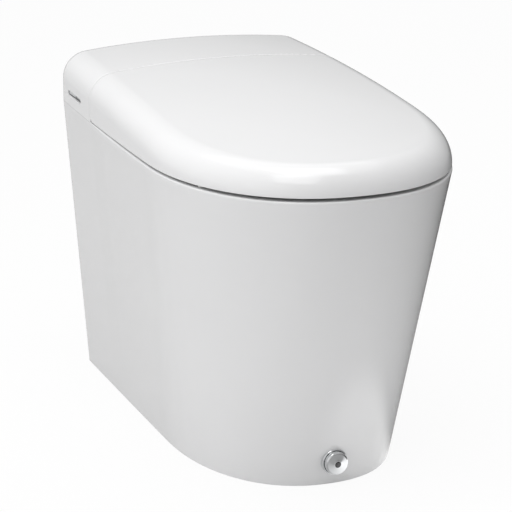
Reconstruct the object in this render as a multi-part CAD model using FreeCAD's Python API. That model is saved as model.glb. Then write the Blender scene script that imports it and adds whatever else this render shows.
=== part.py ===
"""Smart toilet with a heated seat: a skirted one-piece pan, a flush lid over the seat, and a bidet unit behind.

Lengths are in millimetres. +Z is up and the front of the toilet faces -Y. The origin is on the floor, under the
middle of the overall box. Places along the toilet are written as a distance from its back, called depth.
"""

import math
import os

import FreeCAD
import Part

V = FreeCAD.Vector

# ---------------------------------------------------------------- overall form
LENGTH = 688.0            # back to front, over the rim and the lid
RIM_HALF_WIDTH = 197.5    # widest, at the rim
RIM_REAR_HALF_WIDTH = 185.5
RIM_WIDEST = 431.0        # depth of the widest place at the rim
RIM_Z = 410.0
BASE_LENGTH = 585.0
BASE_HALF_WIDTH = 148.0
BASE_REAR_HALF_WIDTH = 147.0
BASE_WIDEST = 359.0
NOSE_POWER = 2.22         # squareness of the rounded front
RIM_CORNER_RADIUS = 41.0  # back corners, seen from above
BASE_CORNER_RADIUS = 8.0
LID_GAP = 5.0             # under the lid's edge, at the front
LID_GAP_BACK = 1.6        # and at the seam
LID_INSET = 1.0           # the lid's edge lies this far inside the rim's
TOP_BACK_Z = 487.5        # centre line of the top, at the back, at the seam and at the front
TOP_SEAM_Z = 485.5
TOP_FRONT_Z = 447.4
TOP_CROWN = 14.1          # fall of the top across half the width
SEAM = 178.0              # depth of the seam between the rear cover and the lid
SEAM_GAP = 1.4
SHOULDER = 39.0           # edge rounding of the top

# ---------------------------------------------------------------- ceramic pan
CERAMIC_WALL = 13.0
DECK_THICKNESS = 14.0
RIM_EDGE_RADIUS = 3.0
BOWL_WALL = 11.0
BOWL_CENTRE = 478.0
BOWL_HALF_WIDTH = 135.0
BOWL_HALF_LENGTH = 162.0
SUMP_Z = 108.0
TRAP_BORE = 27.0          # radius of the waterway
TRAP_WALL = 9.0
TRAP_START = 440.0        # depth where the trap leaves the sump
TRAP_START_Z = 125.0
TRAP_RISE_RADIUS = 45.0
TRAP_RISE_ANGLE = 70.0
TRAP_RISE = 40.0
TRAP_CREST_RADIUS = 42.0
OUTLET_DEPTH = 290.0      # drain centre, from the back
SERVICE_HALF_WIDTH = 138.0
SERVICE_BACK = 32.0
SERVICE_FRONT = 284.0
BACK_DOOR_HALF_WIDTH = 95.0
BACK_DOOR_HEIGHT = 235.0
FOOT_STRIP_HALF_DEPTH = 22.0
FOOT_STRIP_THICKNESS = 16.0
FLOOR_BOLT_SPACING = 154.0
FLOOR_BOLT_HOLE = 5.5
JET_PORT_X = 70.0
JET_PORT_Z = 330.0
JET_PORT_RADIUS = 11.0

# ---------------------------------------------------------------- hinge
HINGE_AHEAD = 22.0        # the hinge line, in front of the seam
HINGE_DEPTH = SEAM + HINGE_AHEAD
HINGE_Z = 464.0
BARREL_RADIUS = 12.0
HOUSING_HALF_WIDTH = 107.5
EAR_GAP = 1.2
SEAT_EAR_WIDTH = 14.0
LID_EAR_WIDTH = 14.0
EAR_RADIUS = 10.0
SHAFT_RADIUS = 5.0
SHAFT_CLEARANCE = 0.05
SHAFT_LENGTH_IN = 40.0    # length of each shaft inside the housing

DAMPER_RADIUS = 9.0
DAMPER_LENGTH = 42.0
WEB_HALF = 10.0
ARCH_HALF = 16.0
ARCH_CLEAR = 6.6          # over the wand's sleeve

# ---------------------------------------------------------------- plastic shells
SKIN = 3.2
LID_HEEL_CLEAR = 0.4      # left over the rim by the lid's rounded lower back corner as it turns
LID_PAD_RADIUS = 4.0
LID_PAD_DEPTHS = (330.0, 560.0)
COVER_POST_X = 168.0
COVER_POST_DEPTHS = (34.0, 148.0)
COVER_POST_RADIUS = 5.0
SCREW_RADIUS = 2.5
LINER_INSET = 6.0
LINER_SKIN = 2.5
LINER_AHEAD = 24.0        # the liner's back, in front of the hinge line
LINER_BACK = HINGE_DEPTH + LINER_AHEAD
FLANGE_WIDTH = 8.7        # of the liner's rim, which the lid's pads are on
COVER_REVEAL = 0.3
CLEAR = 0.3

SEAT_EAR_X = HOUSING_HALF_WIDTH + EAR_GAP
SEAT_EAR_MIDDLE = SEAT_EAR_X + SEAT_EAR_WIDTH / 2.0
LID_EAR_X = SEAT_EAR_X + SEAT_EAR_WIDTH + EAR_GAP

# ---------------------------------------------------------------- seat
SEAT_INSET = 22.0         # inside the lid's edge
SEAT_AHEAD = 32.0         # the seat's back, in front of the hinge line
SEAT_BACK = HINGE_DEPTH + SEAT_AHEAD
SEAT_BOTTOM_Z = 415.5
SEAT_EDGE_Z = 436.0
SEAT_DISH = 7.0           # fall of the sitting face towards the hole
SEAT_HOLE_HALF_WIDTH = 106.0
SEAT_HOLE_HALF_LENGTH = 146.0
SEAT_HOLE_CENTRE = 474.0
DISH_IN = 6.0
DISH_OUT = 34.0
SEAT_SKIN = 3.0
SEAT_EDGE_RADIUS = 8.0

SEAT_ARM_HALF = 8.0
SEAT_RIB_OUT = 26.0
SEAT_RIB_RADIUS = 4.0
SEAT_RIB_TOP = 425.0
HEATER_IN = 8.0
HEATER_OUT = 30.0
HEATER_THICKNESS = 0.6

# ---------------------------------------------------------------- nozzle
NOZZLE_X = -10.0
NOZZLE_TIP_DEPTH = 299.0
NOZZLE_TIP_Z = 376.0
NOZZLE_SLOPE = 20.0
NOZZLE_RADIUS = 8.0
NOZZLE_LENGTH = 222.0
NOZZLE_TRAVEL = 95.0
NOZZLE_CLEARANCE = 0.4
GEAR_MODULE = 1.0
PINION_TEETH = 16
PINION_PLACE = 115.0      # distance behind the tip, along the wand
RACK_DROP = 11.0          # pitch line below the wand's axis
RACK_WIDTH = 6.0
GEAR_BACKLASH = 0.2

TIP_LENGTH = 24.0
TIP_SPIGOT = 5.0
GUIDE_RADIUS = 11.0
GUIDE_START = 22.0
GUIDE_END = 98.0
PINION_SHAFT = 2.5
MOTOR_RADIUS = 14.0
MOTOR_X = 13.6            # from the wand's axis to the motor's face

# ---------------------------------------------------------------- cowl, dryer and light
COWL_BOTTOM_Z = 354.0
DUCT_Z = 372.0
FAN_X = 78.0
FAN_DEPTH = 180.0
FAN_RADIUS = 38.0
FLAP_PIN = 1.0
FLAP_DEPTH = 315.4
FLAP_Z = 397.0
LIGHT_X = 52.0
LIGHT_HALF = 12.0
LIGHT_Z = 392.0
LIGHT_HEIGHT = 8.0
COWL_HALF_WIDTH = 80.0
COWL_TOP_Z = 414.0
COWL_FRONT = 314.0
COWL_FACE = 56.0
COWL_WALL = 2.5
DRYER_X = 56.0
DRYER_WIDTH = 36.0
DRYER_HEIGHT = 24.0
FLAP_THICKNESS = 1.8
FLAP_CLEAR = 3.0          # left in front of the open flap
NOTCH_FRONT = FLAP_DEPTH + FLAP_Z - DUCT_Z + FLAP_CLEAR

# ---------------------------------------------------------------- foot button and side keys
BUTTON_Z = 35.0
BUTTON_RADIUS = 17.5
BUTTON_STEM = 6.0
BUTTON_TRAVEL = 4.0
BUTTON_BACK = 590.0
BEZEL_RADIUS = 20.5
BEZEL_SLEEVE = 19.0
BEZEL_BACK = 566.0
BEZEL_FRONT = 601.0
BUTTON_FRONT = 611.0
BUTTON_DISH_DEPTH = 3.2
LENS_RADIUS = 4.8
KEY_CENTRE = 96.5
KEY_Z = 427.6
KEY_SLOT_LENGTH = 68.0
KEY_SLOT_HEIGHT = 6.4
KEY_TRAVEL = 1.2
KEY_HALF = 2.4
KEY_SPANS = ((-32.5, -1.0), (1.0, 32.5))
SPRING_RADIUS = 9.0
SPRING_WIRE = 0.8
SPRING_TURNS = 4.0
SPRING_STEPS = 14

# ---------------------------------------------------------------- unit base and parts on it
PLATE_THICKNESS = 3.0
PLATE_CLEAR = 1.0
WING_HALF_WIDTH = 124.0
WING_AHEAD = 26.0         # the base's wing, in front of the hinge line
WING_FRONT = HINGE_DEPTH + WING_AHEAD

ANCHOR_RADIUS = 3.0
ANCHOR_PLACES = ((154.0, 70.0), (154.0, 158.0))

# ---------------------------------------------------------------- water and electric parts
INLET_X = 4.0
INLET_DEPTH = 62.0
INLET_THREAD_RADIUS = 10.4
INLET_THREAD_LENGTH = 16.0
INLET_BODY_Z = 336.0
TANK = (-126.0, -46.0, 48.0, 118.0, 348.0)
VALVE = (52.0, 118.0, 48.0, 108.0, 346.0)
HOSE_Z = 378.0
HOSE_RADIUS = 6.0
HOSE_BORE = 4.2
HOSE_BEND = 15.0
HOSE_TAIL = 3.9
BOARD = (-142.0, -44.0, 40.0, 136.0)
SUPPLY = (40.0, 142.0, 36.0, 126.0)
DEODORISER_X = -84.0
DEODORISER_DEPTH = 172.0
DEODORISER_RADIUS = 30.0
DEODORISER_Z = 366.0
DEODORISER_HEIGHT = 26.0
SEAL_HEIGHT = 26.0
JET_BACK = 322.0
JET_FRONT = 350.0

BACK_Y = LENGTH / 2.0
PAD_INSET = LID_INSET + SKIN + FLANGE_WIDTH / 2.0
PLATE_TOP = RIM_Z + PLATE_THICKNESS
PITCH_RADIUS = GEAR_MODULE * PINION_TEETH / 2.0
CROWN_REACH = 220.0       # half-width of the block that the crowned top is cut with
HINGE = V(0, BACK_Y - HINGE_DEPTH, HINGE_Z)
FULL = 400.0              # reach of a cutting block, past any side of the toilet
SLOPE = math.tan(math.radians(NOZZLE_SLOPE))
ARCH_TOP = NOZZLE_TIP_Z + (NOZZLE_TIP_DEPTH - HINGE_DEPTH + WEB_HALF) * SLOPE + GUIDE_RADIUS * math.hypot(1.0, SLOPE) + ARCH_CLEAR


# ---------------------------------------------------------------- small tools
def at(depth):
    """The y of a place that lies this far in front of the back."""
    return BACK_Y - depth


def block(x0, x1, depth0, depth1, z0, z1):
    """A box between two corners, its length given as depths."""
    return Part.makeBox(x1 - x0, depth1 - depth0, z1 - z0, V(x0, at(depth1), z0))


def rod(radius, start, end):
    """A cylinder between two points."""
    along = end - start
    return Part.makeCylinder(radius, along.Length, start, along)


def tube(outer, inner, start, end):
    """A hollow cylinder between two points."""
    return rod(outer, start, end).cut(rod(inner, start, end))


def round_edges(solid, radius, wanted):
    """Rounds those edges of a solid whose middle passes the test."""
    edges = [e for e in solid.Edges if wanted(e.valueAt((e.FirstParameter + e.LastParameter) / 2.0), e)]
    return solid.makeFillet(radius, edges)


def bevel_edges(solid, size, wanted):
    """Bevels those edges of a solid whose middle passes the test."""
    edges = [e for e in solid.Edges if wanted(e.valueAt((e.FirstParameter + e.LastParameter) / 2.0), e)]
    return solid.makeChamfer(size, edges)


def extrude_x(points, x0, x1):
    """A prism along X from an outline of (depth, z) points."""
    corners = [V(x0, at(d), z) for d, z in points]
    return Part.Face(Part.makePolygon(corners + corners[:1])).extrude(V(x1 - x0, 0, 0))


def mirrored(solid):
    """The same solid on the other side of the middle plane."""
    return solid.mirror(V(0, 0, 0), V(1, 0, 0))


def group(solids):
    """Several separate solids as one shape."""
    return Part.makeCompound(solids)


# ---------------------------------------------------------------- outlines seen from above
class Plan:
    """The D-shaped outline of the toilet at one height."""

    def __init__(self, half_width, rear_half_width, widest, length, corner, inset=0.0):
        self.half = half_width - inset
        self.rear = rear_half_width - inset
        self.widest = widest
        self.back = inset
        self.length = length - inset
        self.corner = max(corner - inset, 2.0)

    def side(self, depth):
        """Half the width at a depth behind the widest place."""
        return self.rear + (self.half - self.rear) * math.sin(depth / self.widest * math.pi / 2.0)

    def half_width_at(self, depth):
        """Half the width at any depth."""
        if depth <= self.widest:
            return self.side(depth)
        share = (depth - self.widest) / (self.length - self.widest)
        return self.half * (1.0 - share ** NOSE_POWER) ** (1.0 / NOSE_POWER)

    def nose(self, angle):
        """A point of the rounded front: angle 0 is the widest place, 90 the tip."""
        a = math.radians(angle)
        x = self.half * math.cos(a) ** (2.0 / NOSE_POWER)
        depth = self.widest + (self.length - self.widest) * math.sin(a) ** (2.0 / NOSE_POWER)
        return x, depth

    def front_half(self, start, z):
        """The left half of the front, from a depth to the tip, as one smooth curve."""
        step = (self.widest - start) / 3.0
        side = [(self.side(start + i * step), start + i * step) for i in range(4)]
        nose = [self.nose(angle) for angle in (14, 27, 40, 53, 66, 78)] + [(0.0, self.length)]
        points = [V(-x, at(d), z) for x, d in side + nose]
        slope = (self.side(start + 1.0) - self.side(start))
        curve = Part.BSplineCurve()
        curve.interpolate(Points=points, InitialTangent=V(-slope, -1, 0), FinalTangent=V(1, 0, 0))
        return curve.toShape()

    def wire(self, z, split=SEAM + SEAM_GAP / 2.0):
        """The closed outline: back, rounded corners, sides behind the split, and the two halves of the front."""
        r, back = self.corner, self.back
        quarter = r * (1.0 - math.sqrt(0.5))
        rear_x = self.side(back + r)
        p0, p1 = V(-(rear_x - r), at(back), z), V(-rear_x, at(back + r), z)
        mid = V(-(rear_x - quarter), at(back + quarter), z)
        between = (back + r + split) / 2.0
        corner = Part.Arc(p0, mid, p1).toShape()
        side = Part.Arc(p1, V(-self.side(between), at(between), z), V(-self.side(split), at(split), z)).toShape()
        left = [corner, side, self.front_half(split, z)]
        rear = Part.LineSegment(V(rear_x - r, at(back), z), p0).toShape()
        right = [mirrored(e) for e in reversed(left)]
        return Part.Wire(Part.__sortEdges__([rear] + left + right))


def rim_plan(inset=0.0):
    """The outline at the rim."""
    return Plan(RIM_HALF_WIDTH, RIM_REAR_HALF_WIDTH, RIM_WIDEST, LENGTH, RIM_CORNER_RADIUS, inset)


def base_plan(inset=0.0):
    """The outline on the floor."""
    return Plan(BASE_HALF_WIDTH, BASE_REAR_HALF_WIDTH, BASE_WIDEST, BASE_LENGTH, BASE_CORNER_RADIUS, inset)


def prism(plan, z0, z1):
    """A straight prism on an outline."""
    return Part.Face(plan.wire(z0)).extrude(V(0, 0, z1 - z0))


# ---------------------------------------------------------------- ceramic pan
def ellipse_wire(depth, z, half_width, half_length):
    """A level ellipse that is longer along the toilet than across it."""
    major, minor = max(half_length, half_width), min(half_length, half_width)
    centre = V(0, at(depth), z)
    curve = Part.Ellipse(centre + V(0, major, 0), centre + V(minor, 0, 0), centre)
    return Part.Wire([curve.toShape()])


def bowl_solid(wall):
    """The inside of the bowl, or its outside where a wall is given."""
    top = RIM_Z + (1.0 if wall == 0.0 else -1.0)
    sections = [
        (BOWL_CENTRE, top, BOWL_HALF_WIDTH, BOWL_HALF_LENGTH),
        (BOWL_CENTRE - 1.0, 384.0, BOWL_HALF_WIDTH - 1.0, BOWL_HALF_LENGTH - 1.0),
        (BOWL_CENTRE - 8.0, 310.0, 116.0, 141.0),
        (BOWL_CENTRE - 19.0, 225.0, 83.0, 101.0),
        (BOWL_CENTRE - 33.0, 155.0, 50.0, 62.0),
        (BOWL_CENTRE - 40.0, SUMP_Z, 34.0, 42.0),
    ]
    wires = [ellipse_wire(d, z, a + wall, b + wall) for d, z, a, b in sections]
    if wall:
        d, z, a, b = sections[-1]
        wires.append(ellipse_wire(d, z - wall, a + wall * 0.6, b + wall * 0.6))
    return Part.makeLoft(wires, True, False)


def trap_path():
    """The centre line of the trap: back from the sump, up, over the crest and down to the floor."""
    rise = math.radians(TRAP_RISE_ANGLE)
    over = TRAP_RISE_ANGLE + 90.0
    run = (
        TRAP_START
        - OUTLET_DEPTH
        - TRAP_RISE_RADIUS * math.sin(rise)
        - TRAP_RISE * math.cos(rise)
        - TRAP_CREST_RADIUS * (1.0 + math.sin(rise))
    )
    place, heading, edges = [TRAP_START, TRAP_START_Z], 0.0, []

    def point(p):
        return V(0, at(p[0]), p[1])

    def straight(length):
        start = list(place)
        place[0] -= length * math.cos(heading)
        place[1] += length * math.sin(heading)
        edges.append(Part.LineSegment(point(start), point(place)).toShape())

    def bend(radius, degrees):
        turn = math.radians(degrees)
        side = 1.0 if degrees > 0 else -1.0
        cx = place[0] + side * radius * math.sin(heading)
        cz = place[1] + side * radius * math.cos(heading)

        def on(angle):
            return [cx - side * radius * math.sin(angle), cz - side * radius * math.cos(angle)]

        middle, end = on(heading + turn / 2.0), on(heading + turn)
        edges.append(Part.Arc(point(place), point(middle), point(end)).toShape())
        place[0], place[1] = end
        return heading + turn

    straight(run)
    heading = bend(TRAP_RISE_RADIUS, TRAP_RISE_ANGLE)
    straight(TRAP_RISE)
    heading = bend(TRAP_CREST_RADIUS, -over)
    straight(place[1])
    return Part.Wire(edges)


def sweep(path, radius):
    """A round bar along a path."""
    start = path.Edges[0].valueAt(path.Edges[0].FirstParameter)
    heading = path.Edges[0].tangentAt(path.Edges[0].FirstParameter)
    return path.makePipe(Part.Face(Part.Wire([Part.Circle(start, heading, radius).toShape()])))


def anchors():
    """Places of the bolts that hold the unit on the pan's deck."""
    return [(s * x, depth) for s in (-1, 1) for x, depth in ANCHOR_PLACES]


def make_ceramic_body():
    """The pan: outer skirt, deck, bowl, trap and the strip that is bolted to the floor."""
    outer = Part.makeLoft([base_plan().wire(0.0), rim_plan().wire(RIM_Z)], True, True)
    outer = round_edges(
        outer, RIM_EDGE_RADIUS, lambda p, e: abs(p.z - RIM_Z) < 0.01 and p.y < at(SEAM) - 5.0
    )
    hollow_top = RIM_Z - DECK_THICKNESS
    lean = CERAMIC_WALL * 1.02
    hollow = Part.makeLoft([base_plan(lean).wire(0.0), rim_plan(lean).wire(RIM_Z)], True, True)
    hollow = hollow.common(block(-FULL, FULL, -10.0, LENGTH, -1.0, hollow_top))
    path = trap_path()
    trap = sweep(path, TRAP_BORE + TRAP_WALL)
    strip = block(
        -BASE_HALF_WIDTH + 6.0, BASE_HALF_WIDTH - 6.0, OUTLET_DEPTH - FOOT_STRIP_HALF_DEPTH,
        OUTLET_DEPTH + FOOT_STRIP_HALF_DEPTH, 0.0, FOOT_STRIP_THICKNESS,
    )
    body = outer.cut(hollow).fuse([bowl_solid(BOWL_WALL), trap, strip])
    service = block(-SERVICE_HALF_WIDTH, SERVICE_HALF_WIDTH, SERVICE_BACK, SERVICE_FRONT, hollow_top - 2.0, RIM_Z + 5.0)
    service = round_edges(service, 20.0, lambda p, e: abs(p.z - (hollow_top + RIM_Z + 3.0) / 2.0) < 1.0)
    notch = block(
        -COWL_HALF_WIDTH - 3.0, COWL_HALF_WIDTH + 3.0, SERVICE_FRONT - 30.0, NOTCH_FRONT, 350.0, RIM_Z + 5.0
    )
    door = block(-BACK_DOOR_HALF_WIDTH, BACK_DOOR_HALF_WIDTH, -5.0, 30.0, -1.0, BACK_DOOR_HEIGHT)
    door = round_edges(door, 30.0, lambda p, e: abs(p.z - BACK_DOOR_HEIGHT) < 1.0 and abs(abs(p.x) - BACK_DOOR_HALF_WIDTH) < 1.0)
    button_hole = rod(BEZEL_SLEEVE + CLEAR, V(0, at(BASE_LENGTH - 30.0), BUTTON_Z), V(0, at(LENGTH), BUTTON_Z))
    jet = rod(JET_PORT_RADIUS, V(JET_PORT_X, at(300.0), JET_PORT_Z), V(JET_PORT_X, at(380.0), JET_PORT_Z))
    bolts = [
        rod(FLOOR_BOLT_HOLE, V(s * FLOOR_BOLT_SPACING / 2.0, at(OUTLET_DEPTH), -1.0),
            V(s * FLOOR_BOLT_SPACING / 2.0, at(OUTLET_DEPTH), FOOT_STRIP_THICKNESS + 1.0))
        for s in (-1, 1)
    ]
    bolts += [
        rod(ANCHOR_RADIUS + CLEAR, V(x, at(depth), hollow_top - 1.0), V(x, at(depth), RIM_Z + 1.0)) for x, depth in anchors()
    ]
    return body.cut([bowl_solid(0.0), sweep(path, TRAP_BORE), service, notch, door, button_hole, jet] + bolts)



# ---------------------------------------------------------------- top form, shared by the lid and the rear cover
def crown_z(depth):
    """Height of the top's centre line at a depth: a parabola through the back, the seam and the front."""
    places = [(0.0, TOP_BACK_Z), (SEAM, TOP_SEAM_Z), (LENGTH, TOP_FRONT_Z)]
    height = 0.0
    for here, z in places:
        weight = 1.0
        for other, _ in places:
            if other != here:
                weight *= (depth - other) / (here - other)
        height += z * weight
    return height


def top_z(x, depth):
    """Height of the top at a place, before its edges are rounded."""
    return crown_z(depth) - TOP_CROWN * (x / 200.0) ** 2


def crown_block(inset):
    """Everything under the crowned top."""
    wires = []
    for depth in (-20.0, SEAM + 40.0, RIM_WIDEST, LENGTH + 20.0):
        low, high = top_z(CROWN_REACH, depth) - inset, crown_z(depth) - inset
        y = at(depth)
        left, right = V(-CROWN_REACH, y, low), V(CROWN_REACH, y, low)
        arc = Part.Arc(left, V(0, y, high), right).toShape()
        under = Part.makePolygon([right, V(CROWN_REACH, y, RIM_Z - 20.0), V(-CROWN_REACH, y, RIM_Z - 20.0), left])
        wires.append(Part.Wire([arc] + under.Edges))
    return Part.makeLoft(wires, True, False)


def top_form(inset=0.0):
    """The whole top with its rounded edge, as a solid, or the same moved inwards."""
    plan = rim_plan(LID_INSET + inset)
    solid = prism(plan, RIM_Z - 15.0, TOP_BACK_Z + 20.0).common(crown_block(inset)).removeSplitter()
    edges = [edge for edge in solid.Edges if min(v.Z for v in edge.Vertexes) > (RIM_Z + TOP_FRONT_Z) / 2.0]
    solid = solid.makeFillet(SHOULDER - inset, edges)
    return solid.common(block(-FULL, FULL, -10.0, LENGTH + 10.0, RIM_Z, TOP_BACK_Z + 20.0))


def seam_z(x):
    """Height of the top at the seam: the crown's arc, and the rounded edge from where the two meet."""
    fall = TOP_CROWN * (CROWN_REACH / 200.0) ** 2
    arc = (CROWN_REACH ** 2 + fall ** 2) / (2.0 * fall)
    start = rim_plan(LID_INSET).side(SEAM) - SHOULDER
    if abs(x) < start * arc / (arc - SHOULDER):
        return top_z(x, SEAM)
    centre = TOP_SEAM_Z - arc + math.sqrt((arc - SHOULDER) ** 2 - start ** 2)
    return centre + math.sqrt(SHOULDER ** 2 - (abs(x) - start) ** 2)


def hinge_sweep(extra):
    """The space behind the seam that the lid's rear edge turns through, turned about the hinge line."""
    reach = HINGE_AHEAD + extra + CLEAR
    half = rim_plan(LID_INSET).side(SEAM) - SHOULDER / 5.0
    count = 16
    outline = []
    for i in range(-count, count + 1):
        x = i * half / count
        rise = max(seam_z(x) - HINGE_Z, 0.0)
        outline.append(V(x, at(HINGE_DEPTH), HINGE_Z + math.hypot(reach, rise)))
    curve = Part.BSplineCurve()
    curve.interpolate(outline)
    low = [V(half, at(HINGE_DEPTH), HINGE_Z), V(-half, at(HINGE_DEPTH), HINGE_Z)]
    wire = Part.Wire([curve.toShape()] + Part.makePolygon([outline[-1]] + low + [outline[0]]).Edges)
    return Part.Face(wire).revolve(HINGE, V(1, 0, 0), 360)


def hinge_rod(radius, x0, x1):
    """A cylinder on the hinge line."""
    return rod(radius, HINGE + V(x0, 0, 0), HINGE + V(x1, 0, 0))


# ---------------------------------------------------------------- rear cover
def cover_solid(inset):
    """The rear part of the top, behind the seam and the lid's sweep."""
    behind = block(-FULL, FULL, -10.0, SEAM - inset, RIM_Z - 1.0, TOP_BACK_Z + 20.0)
    return top_form(inset).common(behind).cut(hinge_sweep(inset))


def make_rear_cover():
    """The shell over the works, with its cove for the lid's edge and the slot for the side keys."""
    shell = cover_solid(0.0).cut(cover_solid(SKIN))
    floor = block(-FULL, FULL, -10.0, LENGTH, RIM_Z - 2.0, RIM_Z + COVER_REVEAL)
    wing = block(-SERVICE_HALF_WIDTH, SERVICE_HALF_WIDTH, SEAM - 12.0, SEAM + 2.0, RIM_Z - 2.0, PLATE_TOP + CLEAR)
    slot = block(
        -FULL, -SERVICE_HALF_WIDTH, KEY_CENTRE - KEY_SLOT_LENGTH / 2.0, KEY_CENTRE + KEY_SLOT_LENGTH / 2.0,
        KEY_Z - KEY_SLOT_HEIGHT / 2.0, KEY_Z + KEY_SLOT_HEIGHT / 2.0,
    )
    slot = round_edges(slot, KEY_SLOT_HEIGHT / 2.0 - 0.2, lambda p, e: abs(p.x + (FULL + SERVICE_HALF_WIDTH) / 2.0) < 1.0)
    wand_way = block(NOZZLE_X - ARCH_HALF, NOZZLE_X + ARCH_HALF, SEAM - 12.0, SEAM + 2.0, RIM_Z - 2.0, ARCH_TOP)
    shell = shell.cut([floor, wing, wand_way, slot])
    posts = []
    for x in (-COVER_POST_X, COVER_POST_X):
        for depth in COVER_POST_DEPTHS:
            top = top_z(x, depth) - SKIN / 2.0
            posts.append(tube(COVER_POST_RADIUS, SCREW_RADIUS - 0.4, V(x, at(depth), PLATE_TOP), V(x, at(depth), top)))
    return shell.fuse([post.common(top_form(SKIN / 2.0)) for post in posts])


# ---------------------------------------------------------------- lid
def foot_z(depth):
    """Height of the lid's lower edge, which rises from the seam to the front."""
    return RIM_Z + LID_GAP_BACK + (LID_GAP - LID_GAP_BACK) * (depth - SEAM) / (LENGTH - SEAM)


def foot_band(start, below, above):
    """A slab along the lid's lower edge, from so far below it to so far above it."""
    end = LENGTH + 10.0
    return extrude_x(
        [(start, foot_z(start) - below), (end, foot_z(end) - below), (end, foot_z(end) + above), (start, foot_z(start) + above)],
        -FULL, FULL,
    )


def lid_solid(inset, start, drop=0.0):
    """The part of the top in front of a depth, with its lower back corner rounded about the hinge line."""
    front = foot_band(start, drop, TOP_BACK_Z - RIM_Z + 20.0)
    heel = block(-FULL, FULL, SEAM - 2.0, HINGE_DEPTH, RIM_Z - 5.0, HINGE_Z)
    heel = heel.cut(hinge_rod(HINGE_Z - RIM_Z - LID_HEEL_CLEAR + drop, -FULL, FULL))
    return top_form(inset).common(front).cut(heel)


def make_lid_shell():
    """The outer skin of the lid with the two ears it turns on, open at the back."""
    start = SEAM + SEAM_GAP
    shell = lid_solid(0.0, start).cut(lid_solid(SKIN, start - 1.0, 1.0))
    arm = extrude_x(
        [(HINGE_DEPTH - 7.0, HINGE_Z), (HINGE_DEPTH + 7.0, HINGE_Z), (HINGE_DEPTH + 26.0, TOP_SEAM_Z + 2.0),
         (HINGE_DEPTH - 14.0, TOP_SEAM_Z + 2.0)],
        LID_EAR_X, LID_EAR_X + LID_EAR_WIDTH,
    )
    ear = arm.fuse(hinge_rod(EAR_RADIUS, LID_EAR_X, LID_EAR_X + LID_EAR_WIDTH)).common(top_form(SKIN / 2.0))
    ear = ear.cut(hinge_rod(SHAFT_RADIUS + SHAFT_CLEARANCE, LID_EAR_X - 1.0, LID_EAR_X + LID_EAR_WIDTH + 1.0))
    return shell.fuse([ear, mirrored(ear)])


def make_lid_liner():
    """The inner skin of the lid, with the flange that meets the lid's edge."""
    outer = lid_solid(LINER_INSET, LINER_BACK).cut(lid_solid(LINER_INSET + LINER_SKIN, LINER_BACK + LINER_SKIN, 1.0))
    flange = lid_solid(SKIN + 0.1, LINER_BACK).common(foot_band(LINER_BACK, 1.0, LINER_SKIN))
    flange = flange.cut(prism(rim_plan(LID_INSET + SKIN + FLANGE_WIDTH), RIM_Z - 1.0, RIM_Z + 20.0))
    ears = [
        block(s - LID_EAR_WIDTH, s + LID_EAR_WIDTH, LINER_BACK - 5.0, LINER_BACK + 12.0, RIM_Z, TOP_SEAM_Z - 19.0)
        for s in (-SEAT_EAR_MIDDLE, SEAT_EAR_MIDDLE)
    ]
    back = block(-FULL, FULL, LINER_BACK - 1.0, LINER_BACK + LINER_SKIN + 1.0, RIM_Z - 2.0, TOP_SEAM_Z - 19.0)
    return outer.fuse(flange).cut([back] + ears)


def make_lid_bumpers():
    """Four soft pads under the lid's edge."""
    pads = []
    for depth in LID_PAD_DEPTHS:
        x = rim_plan(PAD_INSET).half_width_at(depth)
        pad = Part.makeCylinder(LID_PAD_RADIUS, LID_GAP + 1.0, V(x, at(depth), RIM_Z + CLEAR))
        pad = pad.common(foot_band(SEAM, LID_GAP + 1.0, 0.0))
        pads += [pad, mirrored(pad)]
    return group(pads)


# ---------------------------------------------------------------- seat
def dish(drop):
    """The cone that hollows the sitting face towards the hole."""
    low, high = SEAT_EDGE_Z - SEAT_DISH - drop, SEAT_EDGE_Z + 1.0 - drop
    return Part.makeLoft(
        [ellipse_wire(SEAT_HOLE_CENTRE, low, SEAT_HOLE_HALF_WIDTH - DISH_IN, SEAT_HOLE_HALF_LENGTH - DISH_IN),
         ellipse_wire(SEAT_HOLE_CENTRE, high, SEAT_HOLE_HALF_WIDTH + DISH_OUT, SEAT_HOLE_HALF_LENGTH + DISH_OUT)],
        True, True,
    )


def outside_dish(p):
    """Whether a place is clear of the dish, out towards the edge of the seat."""
    across = p.x / (SEAT_HOLE_HALF_WIDTH + DISH_OUT)
    along = (BACK_Y - p.y - SEAT_HOLE_CENTRE) / (SEAT_HOLE_HALF_LENGTH + DISH_OUT)
    return math.hypot(across, along) > 1.06


def ellipse_prism(grow, z0, z1):
    """A straight prism on the outline of the seat's hole."""
    face = Part.Face(ellipse_wire(SEAT_HOLE_CENTRE, z0, SEAT_HOLE_HALF_WIDTH + grow, SEAT_HOLE_HALF_LENGTH + grow))
    return face.extrude(V(0, 0, z1 - z0))


def seat_ring(inset, z0, z1):
    """The seat's outline as a ring, moved in from all its edges."""
    ring = prism(rim_plan(LID_INSET + SEAT_INSET + inset), z0, z1)
    ring = ring.cut(block(-FULL, FULL, -10.0, SEAT_BACK + inset, z0 - 1.0, z1 + 1.0))
    return ring.cut(ellipse_prism(inset, z0 - 1.0, z1 + 1.0))


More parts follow.
